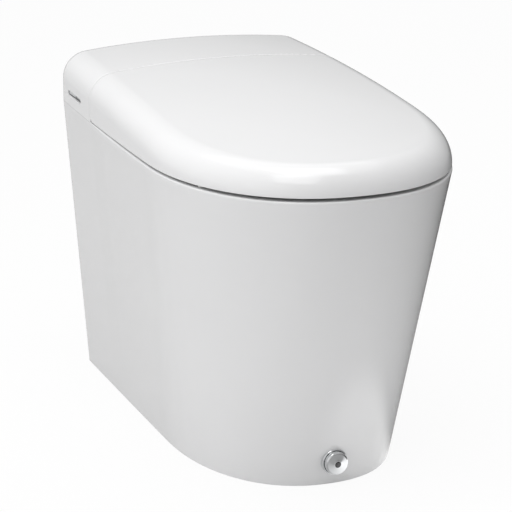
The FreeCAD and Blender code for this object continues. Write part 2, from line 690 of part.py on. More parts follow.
def make_seat_upper():
    """The sitting shell of the seat, dished towards its hole, with the two ears it turns on."""
    outer = seat_ring(0.0, SEAT_BOTTOM_Z, SEAT_EDGE_Z).cut(dish(0.0))
    outer = round_edges(
        outer, SEAT_EDGE_RADIUS,
        lambda p, e: p.z > SEAT_EDGE_Z - 0.1 and outside_dish(p),
    )
    cavity = seat_ring(SEAT_SKIN, SEAT_BOTTOM_Z - 1.0, SEAT_EDGE_Z - SEAT_SKIN).cut(dish(SEAT_SKIN))
    shell = outer.cut(cavity)
    near, far = (HINGE_DEPTH, HINGE_Z), (SEAT_BACK + 10.0, SEAT_EDGE_Z - 10.0)
    along = math.hypot(far[0] - near[0], far[1] - near[1])
    nd, nz = -(far[1] - near[1]) / along * SEAT_ARM_HALF, (far[0] - near[0]) / along * SEAT_ARM_HALF
    arm = extrude_x(
        [(near[0] + nd, near[1] + nz), (far[0] + nd, far[1] + nz), (far[0] - nd, far[1] - nz), (near[0] - nd, near[1] - nz)],
        SEAT_EAR_X, SEAT_EAR_X + SEAT_EAR_WIDTH,
    )
    foot = block(SEAT_EAR_X, SEAT_EAR_X + SEAT_EAR_WIDTH, SEAT_BACK + 1.0, SEAT_BACK + 14.0, SEAT_BOTTOM_Z + SEAT_SKIN + CLEAR, SEAT_EDGE_Z - 6.0)
    ear = arm.fuse([foot, hinge_rod(EAR_RADIUS, SEAT_EAR_X, SEAT_EAR_X + SEAT_EAR_WIDTH)])
    ear = ear.cut(hinge_rod(SHAFT_RADIUS + SHAFT_CLEARANCE, SEAT_EAR_X - 1.0, SEAT_EAR_X + SEAT_EAR_WIDTH + 1.0))
    return shell.fuse([ear, mirrored(ear)])


def make_seat_lower():
    """The tray that closes the seat from below."""
    ring = seat_ring(SEAT_SKIN + 0.1, SEAT_BOTTOM_Z, SEAT_BOTTOM_Z + SEAT_SKIN)
    ribs = []
    for angle in range(20, 360, 40):
        a = math.radians(angle)
        x = (SEAT_HOLE_HALF_WIDTH + SEAT_RIB_OUT) * math.cos(a)
        depth = SEAT_HOLE_CENTRE + (SEAT_HOLE_HALF_LENGTH + SEAT_RIB_OUT) * math.sin(a)
        ribs.append(tube(SEAT_RIB_RADIUS, SEAT_RIB_RADIUS - 2.0, V(x, at(depth), SEAT_BOTTOM_Z + 1.0), V(x, at(depth), SEAT_RIB_TOP)))
    return ring.fuse(ribs)


def make_seat_heater():
    """The heating film under the sitting face."""
    ring = ellipse_prism(HEATER_OUT, SEAT_BOTTOM_Z, SEAT_EDGE_Z).cut(ellipse_prism(HEATER_IN, SEAT_BOTTOM_Z, SEAT_EDGE_Z))
    ring = ring.cut(dish(SEAT_SKIN + 0.1)).common(dish(SEAT_SKIN + HEATER_THICKNESS + 0.1))
    return ring.common(block(-FULL, FULL, 0.0, LENGTH, SEAT_BOTTOM_Z, SEAT_EDGE_Z - SEAT_SKIN - 0.1))


def make_seat_bumpers():
    """Four pads under the seat."""
    pads = []
    for x, depth in ((-94.0, 612.0), (94.0, 612.0), (-150.0, 330.0), (150.0, 330.0)):
        pads.append(Part.makeBox(24.0, 12.0, SEAT_BOTTOM_Z - RIM_Z - CLEAR, V(x - 12.0, at(depth) - 6.0, RIM_Z + CLEAR)))
    return group(pads)


# ---------------------------------------------------------------- hinge housing, shafts and dampers
def make_hinge_housing():
    """The barrel that carries both hinges, on a web that clears the wand."""
    barrel = hinge_rod(BARREL_RADIUS, -HOUSING_HALF_WIDTH, HOUSING_HALF_WIDTH)
    web = block(-HOUSING_HALF_WIDTH, HOUSING_HALF_WIDTH, HINGE_DEPTH - WEB_HALF, HINGE_DEPTH + WEB_HALF, PLATE_TOP, HINGE_Z)
    body = barrel.fuse(web)
    arch = block(NOZZLE_X - ARCH_HALF, NOZZLE_X + ARCH_HALF, HINGE_DEPTH - 30.0, HINGE_DEPTH + 30.0, RIM_Z, ARCH_TOP)
    arch = round_edges(arch, ARCH_HALF - 2.0, lambda p, e: abs(p.z - ARCH_TOP) < 0.1 and abs(abs(p.x - NOZZLE_X) - ARCH_HALF) < 0.1)
    pockets = [
        hinge_rod(DAMPER_RADIUS + 0.1, s * (HOUSING_HALF_WIDTH - DAMPER_LENGTH - 0.2), s * (HOUSING_HALF_WIDTH + 1.0))
        for s in (-1, 1)
    ]
    return body.cut([arch] + pockets)


def make_damper(side):
    """A rotary damper cartridge round one shaft."""
    x0, x1 = side * (HOUSING_HALF_WIDTH - DAMPER_LENGTH), side * HOUSING_HALF_WIDTH
    body = hinge_rod(DAMPER_RADIUS, x0, x1)
    key = block(min(x0, x1), max(x0, x1), HINGE_DEPTH - 2.0, HINGE_DEPTH + 2.0, HINGE_Z - DAMPER_RADIUS, HINGE_Z - DAMPER_RADIUS + 2.0)
    return body.cut([hinge_rod(SHAFT_RADIUS + SHAFT_CLEARANCE, x0 - 1.0, x1 + side + 1.0), key])


def make_shaft(side):
    """A hinge shaft from inside its damper to the outside of the lid's ear, with a flat and a head."""
    inner = side * (HOUSING_HALF_WIDTH - SHAFT_LENGTH_IN + 2.0)
    outer = side * (LID_EAR_X + LID_EAR_WIDTH + CLEAR)
    head = side * (LID_EAR_X + LID_EAR_WIDTH + CLEAR + 3.0)
    shaft = hinge_rod(SHAFT_RADIUS, inner, outer).fuse(hinge_rod(SHAFT_RADIUS + 3.0, outer, head))
    tip = block(min(inner, inner + side * 14.0), max(inner, inner + side * 14.0), HINGE_DEPTH + SHAFT_RADIUS - 1.2,
                HINGE_DEPTH + SHAFT_RADIUS + 1.0, HINGE_Z - 10.0, HINGE_Z + 10.0)
    return shaft.cut(tip)


# ---------------------------------------------------------------- nozzle
def on_wand(along, x=0.0, below=0.0):
    """A place on the wand at rest: behind its tip, beside its axis and below it."""
    a = math.radians(NOZZLE_SLOPE)
    depth = NOZZLE_TIP_DEPTH - along * math.cos(a) - below * math.sin(a)
    z = NOZZLE_TIP_Z + along * math.sin(a) - below * math.cos(a)
    return V(NOZZLE_X + x, at(depth), z)


def wand_block(x0, x1, along0, along1, below0, below1):
    """A box that lies along the wand."""
    corners = [on_wand(a, x0, b) for a, b in ((along0, below0), (along1, below0), (along1, below1), (along0, below1))]
    return Part.Face(Part.makePolygon(corners + corners[:1])).extrude(V(x1 - x0, 0, 0))


def make_nozzle_tip():
    """The spray head: a rounded cap with two rows of holes on its upper side."""
    head = rod(NOZZLE_RADIUS, on_wand(0.0), on_wand(TIP_LENGTH))
    head = bevel_edges(head, 3.0, lambda p, e: (p - on_wand(0.0)).Length < NOZZLE_RADIUS + 0.1)
    spigot = rod(TIP_SPIGOT, on_wand(TIP_LENGTH - 1.0), on_wand(TIP_LENGTH + 8.0))
    flat = wand_block(-NOZZLE_RADIUS, NOZZLE_RADIUS, 3.0, TIP_LENGTH - 4.0, -NOZZLE_RADIUS - 1.0, -NOZZLE_RADIUS + 1.0)
    holes = []
    for along in (8.0, 16.0):
        for x in (-3.0, 0.0, 3.0):
            holes.append(rod(0.7, on_wand(along, x, -NOZZLE_RADIUS - 1.0), on_wand(along, x, -2.0)))
    return head.fuse(spigot).cut([flat] + holes)


def make_nozzle_wand():
    """The tube that the spray head is pushed on, with a hose tail at its back end."""
    outer = rod(NOZZLE_RADIUS, on_wand(TIP_LENGTH), on_wand(NOZZLE_LENGTH))
    tail = rod(TIP_SPIGOT, on_wand(NOZZLE_LENGTH - 1.0), on_wand(NOZZLE_LENGTH + 12.0))
    bore = rod(TIP_SPIGOT + 0.02, on_wand(TIP_LENGTH - 1.0), on_wand(TIP_LENGTH + 8.5))
    way = rod(2.5, on_wand(TIP_LENGTH), on_wand(NOZZLE_LENGTH + 13.0))
    return outer.fuse(tail).cut([bore, way])


def tooth_space(pitch, height, depth, angle):
    """Half-widths of a straight-sided tooth at its top and at its root."""
    lean = math.tan(math.radians(angle))
    return pitch / 4.0 - height * lean, pitch / 4.0 + depth * lean


def make_nozzle_rack():
    """The toothed bar under the wand that its pinion drives."""
    pitch = math.pi * GEAR_MODULE
    top, root = tooth_space(pitch, GEAR_MODULE, 1.25 * GEAR_MODULE, 20.0)
    tip_at, root_at = RACK_DROP + GEAR_MODULE, RACK_DROP - 1.25 * GEAR_MODULE
    first = PINION_PLACE - 2.0 * pitch
    count = int((NOZZLE_LENGTH - 2.0 - first) / pitch)
    corners = []
    for i in range(count):
        c = first + pitch * (i + 0.5)
        corners += [(c - root, root_at), (c - top, tip_at), (c + top, tip_at), (c + root, root_at)]
    end = first + pitch * count
    outline = [(first, NOZZLE_RADIUS - 3.0), (first, root_at)] + corners + [(end, root_at), (end, NOZZLE_RADIUS - 3.0)]
    points = [on_wand(a, -RACK_WIDTH / 2.0, b) for a, b in outline]
    bar = Part.Face(Part.makePolygon(points + points[:1])).extrude(V(RACK_WIDTH, 0, 0))
    return bar.cut(rod(NOZZLE_RADIUS + 0.02, on_wand(0.0), on_wand(NOZZLE_LENGTH + 5.0)))


def make_nozzle_pinion():
    """The pinion under the rack with its shaft: straight-flanked teeth cut for running clearance."""
    centre = on_wand(PINION_PLACE, 0.0, RACK_DROP + PITCH_RADIUS)
    up = (on_wand(PINION_PLACE) - centre).normalize()
    across = on_wand(PINION_PLACE + 1.0) - on_wand(PINION_PLACE)
    step = 2.0 * math.pi / PINION_TEETH
    outline = []

    def place(radius, angle):
        return centre + up * (radius * math.cos(angle)) + across * (radius * math.sin(angle)) + V(-RACK_WIDTH / 2.0, 0, 0)

    root, tip = PITCH_RADIUS - 1.25 * GEAR_MODULE, PITCH_RADIUS + 0.9 * GEAR_MODULE
    slack = GEAR_BACKLASH / PITCH_RADIUS
    for i in range(PINION_TEETH):
        middle = i * step
        flank = [(root, 0.36), (PITCH_RADIUS - 0.5, 0.30), (PITCH_RADIUS, 0.25), (PITCH_RADIUS + 0.5, 0.185), (tip, 0.125)]
        rising = [(r, middle - h * step + slack) for r, h in flank]
        falling = [(r, middle + h * step - slack) for r, h in reversed(flank)]
        outline += [place(r, a) for r, a in rising + falling]
    wheel = Part.Face(Part.makePolygon(outline + outline[:1])).extrude(V(RACK_WIDTH, 0, 0))
    shaft = rod(PINION_SHAFT, centre + V(-RACK_WIDTH / 2.0 - 1.0, 0, 0), centre + V(MOTOR_X + 8.0, 0, 0))
    return wheel.fuse(shaft)


def make_nozzle_guide():
    """The slotted sleeve the wand runs in, its flange under the base, and the cheek that carries the motor."""
    sleeve = rod(GUIDE_RADIUS, on_wand(GUIDE_START), on_wand(GUIDE_END))
    flange = block(NOZZLE_X - 26.0, NOZZLE_X + 26.0, 208.0, 234.0, RIM_Z - 6.5, RIM_Z)
    cheek = wand_block(GUIDE_RADIUS - 0.5, GUIDE_RADIUS + 2.5, GUIDE_END - 30.0, PINION_PLACE + MOTOR_RADIUS, -1.0, RACK_DROP + PITCH_RADIUS + MOTOR_RADIUS)
    cheek = cheek.common(block(-FULL, FULL, 0.0, LENGTH, 0.0, RIM_Z))
    bore = rod(NOZZLE_RADIUS + NOZZLE_CLEARANCE, on_wand(-5.0), on_wand(NOZZLE_LENGTH))
    slot = wand_block(-RACK_WIDTH / 2.0 - 0.7, RACK_WIDTH / 2.0 + 0.7, -5.0, GUIDE_END + 1.0, 0.0, RACK_DROP + 8.0)
    centre = on_wand(PINION_PLACE, 0.0, RACK_DROP + PITCH_RADIUS)
    shaft_hole = rod(PINION_SHAFT + 1.0, centre, centre + V(MOTOR_X + 1.0, 0, 0))
    return sleeve.fuse([flange, cheek]).cut([bore, slot, shaft_hole])


def make_nozzle_motor():
    """The small stepper motor on the cheek, with its two fixing ears."""
    centre = on_wand(PINION_PLACE, 0.0, RACK_DROP + PITCH_RADIUS)
    case = rod(MOTOR_RADIUS, centre + V(MOTOR_X, 0, 0), centre + V(MOTOR_X + 19.0, 0, 0))
    case = bevel_edges(case, 1.5, lambda p, e: abs(p.x - NOZZLE_X - MOTOR_X - 19.0) < 0.1)
    boss = rod(4.5, centre + V(MOTOR_X + 18.0, 0, 0), centre + V(MOTOR_X + 20.5, 0, 0))
    bore = rod(PINION_SHAFT + SHAFT_CLEARANCE, centre + V(MOTOR_X - 1.0, 0, 0), centre + V(MOTOR_X + 9.0, 0, 0))
    return case.fuse(boss).cut(bore)


# ---------------------------------------------------------------- unit base and cowl
def make_unit_base():
    """The moulded plate on the pan's deck that everything behind the seat is fixed to."""
    plan = rim_plan(LID_INSET + SKIN + PLATE_CLEAR)
    plate = prism(plan, RIM_Z, PLATE_TOP).common(block(-FULL, FULL, -10.0, SEAM - SKIN - 1.0, RIM_Z - 1.0, PLATE_TOP + 1.0))
    wing = block(-WING_HALF_WIDTH, WING_HALF_WIDTH, SEAM - 10.0, WING_FRONT, RIM_Z, PLATE_TOP)
    tongue = block(-COWL_HALF_WIDTH, COWL_HALF_WIDTH, WING_FRONT - 1.0, COWL_FRONT - COWL_FACE, RIM_Z, PLATE_TOP)
    slot = block(NOZZLE_X - 15.0, NOZZLE_X + 15.0, 70.0, 242.0, RIM_Z - 1.0, PLATE_TOP + 1.0)
    lip = block(-SERVICE_HALF_WIDTH + 1.5, SERVICE_HALF_WIDTH - 1.5, SERVICE_BACK + 1.5, SERVICE_FRONT - 30.0, RIM_Z - 6.0, RIM_Z + 0.5)
    lip = round_edges(lip, 18.5, lambda p, e: abs(p.z - RIM_Z + 2.75) < 0.1)
    inside = block(-SERVICE_HALF_WIDTH + 4.0, SERVICE_HALF_WIDTH - 4.0, SERVICE_BACK + 4.0, SERVICE_FRONT - 10.0, RIM_Z - 7.0, RIM_Z)
    ribs = [block(x - 1.5, x + 1.5, 60.0, 170.0, PLATE_TOP - 0.5, PLATE_TOP + 9.0) for x in (-34.0, 16.0)]
    plate = plate.fuse([wing, tongue, lip.cut(inside)] + ribs)
    pocket = block(NOZZLE_X, NOZZLE_X + MOTOR_X + 23.0, 164.0, 206.0, RIM_Z - 1.0, PLATE_TOP + 1.0)
    holes = [rod(ANCHOR_RADIUS + CLEAR, V(x, at(depth), RIM_Z - 1.0), V(x, at(depth), PLATE_TOP + 1.0)) for x, depth in anchors()]
    passages = [rod(8.0, V(x, at(150.0), RIM_Z - 8.0), V(x, at(150.0), PLATE_TOP + 1.0)) for x in (-150.0 + 40.0, 110.0)]
    return plate.cut([slot, pocket] + passages + holes)


def make_nozzle_cowl():
    """The hood over the wand's mouth and the dryer's outlet, at the back of the bowl."""
    back = COWL_FRONT - COWL_FACE
    outline = [(back, COWL_TOP_Z), (COWL_FRONT - 6.0, COWL_TOP_Z), (COWL_FRONT, COWL_TOP_Z - 8.0), (COWL_FRONT, COWL_BOTTOM_Z), (back, COWL_BOTTOM_Z)]
    w = COWL_WALL
    inner = [(back - 1.0, COWL_TOP_Z - w), (COWL_FRONT - 7.0, COWL_TOP_Z - w), (COWL_FRONT - w, COWL_TOP_Z - 9.0), (COWL_FRONT - w, COWL_BOTTOM_Z - 1.0), (back - 1.0, COWL_BOTTOM_Z - 1.0)]
    hood = extrude_x(outline, -COWL_HALF_WIDTH, COWL_HALF_WIDTH).cut(extrude_x(inner, -COWL_HALF_WIDTH + w, COWL_HALF_WIDTH - w))
    hood = round_edges(hood, 5.0, lambda p, e: abs(abs(p.x) - COWL_HALF_WIDTH) < 0.1 and p.y < at(COWL_FRONT - 0.1) and abs(p.z - (COWL_TOP_Z - 8.0 + COWL_BOTTOM_Z) / 2.0) < 1.0)
    flange = block(-COWL_HALF_WIDTH + 4.0, COWL_HALF_WIDTH - 4.0, back - 20.0, back + 2.0, RIM_Z - 3.0, RIM_Z)
    hood = hood.fuse([flange, block(-COWL_HALF_WIDTH + 4.0, COWL_HALF_WIDTH - 4.0, back, back + 2.0, RIM_Z - 3.0, COWL_TOP_Z - 1.0)])
    way = rod(NOZZLE_RADIUS + 3.0, on_wand(-60.0), on_wand(60.0))
    mouth = block(NOZZLE_X - 11.0, NOZZLE_X + 11.0, COWL_FRONT - 20.0, COWL_FRONT + 5.0, COWL_BOTTOM_Z - 1.0, NOZZLE_TIP_Z - 4.0)
    flange_way = wand_block(-GUIDE_RADIUS - 1.0, GUIDE_RADIUS + 1.0, GUIDE_START, GUIDE_END, -GUIDE_RADIUS - 1.0, 0.0)
    dryer = block(DRYER_X - DRYER_WIDTH / 2.0 - 0.4, DRYER_X + DRYER_WIDTH / 2.0 + 0.4, back + 10.0, COWL_FRONT + 5.0, DUCT_Z - 0.4, DUCT_Z + DRYER_HEIGHT + 0.4)
    light = block(-LIGHT_X - LIGHT_HALF, -LIGHT_X + LIGHT_HALF, COWL_FRONT - 10.0, COWL_FRONT + 5.0, LIGHT_Z, LIGHT_Z + LIGHT_HEIGHT)
    lugs = []
    for x in (DRYER_X - DRYER_WIDTH / 2.0 - 3.0, DRYER_X + DRYER_WIDTH / 2.0 + 0.5):
        lugs.append(block(x, x + 2.5, COWL_FRONT - 1.0, FLAP_DEPTH + 2.2, FLAP_Z - 2.2, FLAP_Z + 2.2))
    pin = rod(FLAP_PIN + SHAFT_CLEARANCE, V(DRYER_X - DRYER_WIDTH, at(FLAP_DEPTH), FLAP_Z), V(DRYER_X + DRYER_WIDTH, at(FLAP_DEPTH), FLAP_Z))
    hood = hood.fuse(lugs).cut(pin)
    return hood.cut([way, mouth, flange_way.common(block(-FULL, FULL, 0.0, back + 3.0, 0.0, 500.0)), dryer, light])


def make_night_light():
    """The lamp's lens in the cowl, with its holder behind."""
    lens = block(-LIGHT_X - LIGHT_HALF + 0.2, -LIGHT_X + LIGHT_HALF - 0.2, COWL_FRONT - COWL_WALL - 3.0, COWL_FRONT, LIGHT_Z + 0.2, LIGHT_Z + LIGHT_HEIGHT - 0.2)
    flange = block(-LIGHT_X - LIGHT_HALF - 3.0, -LIGHT_X + LIGHT_HALF + 3.0, COWL_FRONT - COWL_WALL - 5.0, COWL_FRONT - COWL_WALL - 0.1, LIGHT_Z - 3.0, LIGHT_Z + LIGHT_HEIGHT + 3.0)
    return lens.fuse(flange)


# ---------------------------------------------------------------- dryer
def make_dryer_duct():
    """The rectangular duct from the fan to the outlet in the cowl."""
    x0, x1 = DRYER_X - DRYER_WIDTH / 2.0, DRYER_X + DRYER_WIDTH / 2.0
    start = FAN_DEPTH + 4.0
    outer = block(x0, x1, start, COWL_FRONT - 0.5, DUCT_Z, DUCT_Z + DRYER_HEIGHT)
    inner = block(x0 + 2.0, x1 - 2.0, start - 1.0, COWL_FRONT + 1.0, DUCT_Z + 2.0, DUCT_Z + DRYER_HEIGHT - 2.0)
    fan = rod(FAN_RADIUS + 0.2, V(FAN_X, at(FAN_DEPTH), DUCT_Z - 5.0), V(FAN_X, at(FAN_DEPTH), DUCT_Z + DRYER_HEIGHT + 5.0))
    bars = [block(x0 + 2.0 + i * 8.0, x0 + 3.2 + i * 8.0, COWL_FRONT - 22.0, COWL_FRONT - 6.0, DUCT_Z + 1.0, DUCT_Z + DRYER_HEIGHT - 1.0) for i in range(1, 4)]
    collar = block(x0 - 3.0, x1 + 3.0, COWL_FRONT - COWL_FACE - 14.0, COWL_FRONT - COWL_FACE - 8.0, DUCT_Z + DRYER_HEIGHT - 1.0, RIM_Z - 3.05)
    return outer.cut(inner).fuse(bars + [collar]).cut(fan)


def make_dryer_fan_housing():
    """The fan's drum, open to the duct, hung from the base on three posts."""
    z0, z1 = DUCT_Z, DUCT_Z + DRYER_HEIGHT
    drum = rod(FAN_RADIUS, V(FAN_X, at(FAN_DEPTH), z0), V(FAN_X, at(FAN_DEPTH), z1))
    hollow = rod(FAN_RADIUS - 2.0, V(FAN_X, at(FAN_DEPTH), z0 + 2.0), V(FAN_X, at(FAN_DEPTH), z1 - 2.0))
    inlet = rod(15.0, V(FAN_X, at(FAN_DEPTH), z1 - 3.0), V(FAN_X, at(FAN_DEPTH), z1 + 1.0))
    shaft = rod(3.0, V(FAN_X, at(FAN_DEPTH), z0 - 1.0), V(FAN_X, at(FAN_DEPTH), z0 + 3.0))
    mouth = block(DRYER_X - DRYER_WIDTH / 2.0 + 2.0, DRYER_X + DRYER_WIDTH / 2.0 - 2.0, FAN_DEPTH + 5.0, FAN_DEPTH + FAN_RADIUS + 2.0, z0 + 2.0, z1 - 2.0)
    posts = []
    for angle in (30.0, 180.0, 300.0):
        a = math.radians(angle)
        x, depth = FAN_X + (FAN_RADIUS - 5.0) * math.cos(a), FAN_DEPTH - (FAN_RADIUS - 5.0) * math.sin(a)
        posts.append(rod(4.0, V(x, at(depth), z1 - 1.0), V(x, at(depth), RIM_Z)))
    return drum.cut([hollow, inlet, shaft, mouth]).fuse(posts)


def make_dryer_impeller():
    """The bladed wheel of the dryer's fan."""
    z0, z1 = DUCT_Z + 3.0, DUCT_Z + DRYER_HEIGHT - 3.5
    centre = V(FAN_X, at(FAN_DEPTH), 0.0)
    up = V(0, 0, 1)
    disk = Part.makeCylinder(FAN_RADIUS - 5.0, 1.6, centre + up * z0, up)
    hub = Part.makeCylinder(6.0, 9.0, centre + up * z0, up)
    blade = Part.makeBox(9.0, 1.4, z1 - z0, centre + V(FAN_RADIUS - 14.5, -0.7, z0))
    blade.rotate(centre + V(FAN_RADIUS - 10.0, 0, 0), up, 35.0)
    blades = []
    for i in range(14):
        turned = blade.copy()
        turned.rotate(centre, up, i * 360.0 / 14)
        blades.append(turned)
    shaft = rod(2.0, centre + up * (DUCT_Z - 10.0), centre + up * (z0 + 1.0))
    return disk.fuse([hub, shaft] + blades)


def make_dryer_motor():
    """The fan's motor under its drum."""
    x, y = FAN_X, at(FAN_DEPTH)
    case = rod(15.0, V(x, y, DUCT_Z - 26.0), V(x, y, DUCT_Z))
    case = bevel_edges(case, 2.0, lambda p, e: abs(p.z - DUCT_Z + 26.0) < 0.1)
    return case.cut(rod(2.0 + SHAFT_CLEARANCE, V(x, y, DUCT_Z - 11.0), V(x, y, DUCT_Z + 1.0)))


def make_dryer_flap():
    """The hinged shutter over the dryer's outlet, with its pin."""
    x0, x1 = DRYER_X - DRYER_WIDTH / 2.0, DRYER_X + DRYER_WIDTH / 2.0
    plate = block(x0, x1, COWL_FRONT + CLEAR, COWL_FRONT + CLEAR + FLAP_THICKNESS, DUCT_Z - 1.0, FLAP_Z)
    pin = rod(FLAP_PIN, V(x0 - 2.0, at(FLAP_DEPTH), FLAP_Z), V(x1 + 2.0, at(FLAP_DEPTH), FLAP_Z))
    return plate.fuse(pin)


# ---------------------------------------------------------------- foot button
def pan_outside(grow):
    """The outer form of the pan, a little larger."""
    return Part.makeLoft([base_plan(-grow).wire(0.0), rim_plan(-grow).wire(RIM_Z)], True, True)


def button_rod(radius, depth0, depth1):
    """A cylinder on the foot button's line."""
    return rod(radius, V(0, at(depth0), BUTTON_Z), V(0, at(depth1), BUTTON_Z))


def make_foot_bezel():
    """The ring round the foot button, its sleeve through the pan and its back wall."""
    ring = button_rod(BEZEL_RADIUS, BEZEL_BACK + 6.0, BEZEL_FRONT)
    ring = bevel_edges(ring, 1.5, lambda p, e: abs(p.y - at(BEZEL_FRONT)) < 0.1)
    ring = ring.cut(pan_outside(0.1)).fuse(button_rod(BEZEL_SLEEVE, BEZEL_BACK, BUTTON_BACK + 3.0))
    well = button_rod(BUTTON_RADIUS + CLEAR, BEZEL_BACK + 3.0, BEZEL_FRONT + 5.0)
    return ring.cut([well, button_rod(BUTTON_STEM + 0.05, BEZEL_BACK - 5.0, BEZEL_BACK + 5.0)])


def make_foot_button():
    """The button: a drum with a dished face and a stem behind."""
    drum = button_rod(BUTTON_RADIUS, BUTTON_BACK, BUTTON_FRONT)
    drum = bevel_edges(drum, 1.6, lambda p, e: abs(p.y - at(BUTTON_FRONT)) < 0.1)
    cone = Part.makeCone(
        LENS_RADIUS, BUTTON_RADIUS - 1.8, BUTTON_DISH_DEPTH + 0.6,
        V(0, at(BUTTON_FRONT - BUTTON_DISH_DEPTH), BUTTON_Z), V(0, -1, 0),
    )
    lens = button_rod(LENS_RADIUS + 0.05, BUTTON_FRONT - BUTTON_DISH_DEPTH - 2.0, BUTTON_FRONT)
    hollow = button_rod(BUTTON_RADIUS - 2.5, BUTTON_BACK - 1.0, BUTTON_BACK + 8.0).cut(
        button_rod(BUTTON_STEM, BUTTON_BACK - 2.0, BUTTON_BACK + 9.0)
    )
    stem = button_rod(BUTTON_STEM, BEZEL_BACK - 10.0, BUTTON_BACK + 9.0)
    return drum.cut([cone, lens, hollow]).fuse(stem)


def make_foot_lens():
    """The dark window in the middle of the button."""
    return button_rod(LENS_RADIUS, BUTTON_FRONT - BUTTON_DISH_DEPTH - 2.0, BUTTON_FRONT - BUTTON_DISH_DEPTH + 0.4)


def make_foot_switch():
    """The switch behind the button: a closed cup with the cable's gland."""
    case = button_rod(BEZEL_SLEEVE - 2.0, BEZEL_BACK - 26.0, BEZEL_BACK)
    case = bevel_edges(case, 3.0, lambda p, e: abs(p.y - at(BEZEL_BACK - 26.0)) < 0.1)
    gland = rod(4.0, V(0, at(BEZEL_BACK - 14.0), BUTTON_Z + 12.0), V(0, at(BEZEL_BACK - 14.0), BUTTON_Z + 24.0))
    return case.fuse(gland).cut(button_rod(BUTTON_STEM + 0.5, BEZEL_BACK - 15.0, BEZEL_BACK + 1.0))


def make_foot_spring():
    """The coil that pushes the button out, its wire square in section."""
    length = BUTTON_BACK - BUTTON_TRAVEL - BEZEL_BACK - 3.0 - 1.0
    sections = []
    for i in range(int(SPRING_TURNS * SPRING_STEPS) + 1):
        angle = 2.0 * math.pi * i / SPRING_STEPS
        out = V(math.cos(angle), 0, math.sin(angle))
        along = V(0, -1, 0)
        centre = V(0, at(BEZEL_BACK + 3.0 + SPRING_WIRE + 0.1), BUTTON_Z) + along * (length * i / (SPRING_TURNS * SPRING_STEPS))
        corners = [centre + out * (SPRING_RADIUS + a * SPRING_WIRE) + along * (b * SPRING_WIRE) for a, b in ((-1, -1), (1, -1), (1, 1), (-1, 1))]
        sections.append(Part.makePolygon(corners + corners[:1]))
    return Part.makeLoft(sections, True, True)


# ---------------------------------------------------------------- side keys
def key_wall(depth):
    """How far out the rear cover's side lies at a depth."""
    return rim_plan(LID_INSET).side(depth)


def make_key_frame():
    """The recess behind the slot in the cover's side, with a pocket for each key."""
    half = KEY_SLOT_LENGTH / 2.0
    out = -(key_wall(KEY_CENTRE - half) - SKIN - 0.9)
    case = block(out, out + 9.0, KEY_CENTRE - half - 4.0, KEY_CENTRE + half + 4.0, KEY_Z - 8.0, KEY_Z + 8.0)
    rims = block(out - SKIN, out + 1.0, KEY_CENTRE - half + 0.3, KEY_CENTRE + half - 0.3, KEY_Z - KEY_SLOT_HEIGHT / 2.0 + 0.3, KEY_Z + KEY_SLOT_HEIGHT / 2.0 - 0.3)
    rims = round_edges(rims, KEY_SLOT_HEIGHT / 2.0 - 0.5, lambda p, e: abs(p.x - out + SKIN / 2.0 - 0.5) < 0.1)
    wells = []
    for start, end in KEY_SPANS:
        wells.append(block(out - 10.0, out + 5.0, KEY_CENTRE + start - 0.35, KEY_CENTRE + end + 0.35, KEY_Z - KEY_HALF - 0.35, KEY_Z + KEY_HALF + 0.35))
    foot = block(out + 8.0, out + 12.0, KEY_CENTRE - 12.0, KEY_CENTRE + 12.0, PLATE_TOP, KEY_Z + 4.0)
    return case.fuse([rims, foot]).cut(wells)


def make_key(number):
    """One of the two side keys."""
    start, end = KEY_SPANS[number]
    half = KEY_SLOT_LENGTH / 2.0
    out = -(key_wall(KEY_CENTRE - half) - SKIN - 0.9)
    cap = block(out - SKIN + 0.2, out + 5.0 - KEY_TRAVEL - CLEAR, KEY_CENTRE + start, KEY_CENTRE + end, KEY_Z - KEY_HALF, KEY_Z + KEY_HALF)
    return bevel_edges(cap, 0.8, lambda p, e: abs(p.x - out + SKIN - 0.2) < 0.1)


# ---------------------------------------------------------------- water
def rounded_path(points, radius):
    """A path of straight runs with an arc of one radius at each corner, through points given as (x, depth, z)."""
    corners = [V(x, at(depth), z) for x, depth, z in points]
    edges, last = [], corners[0]
    for before, corner, after in zip(corners, corners[1:], corners[2:]):
        u, v = (before - corner).normalize(), (after - corner).normalize()
        half = u.getAngle(v) / 2.0
        start, end = corner + u * (radius / math.tan(half)), corner + v * (radius / math.tan(half))
        middle = corner + (u + v).normalize() * (radius / math.sin(half) - radius)
        edges.append(Part.LineSegment(last, start).toShape())
        edges.append(Part.Arc(start, middle, end).toShape())
        last = end
    edges.append(Part.LineSegment(last, corners[-1]).toShape())
    return Part.Wire(edges)


def hose(points):
    """A hose along a path of straight runs and bends."""
    path = rounded_path(points, HOSE_BEND)
    return sweep(path, HOSE_RADIUS).cut(sweep(path, HOSE_BORE))


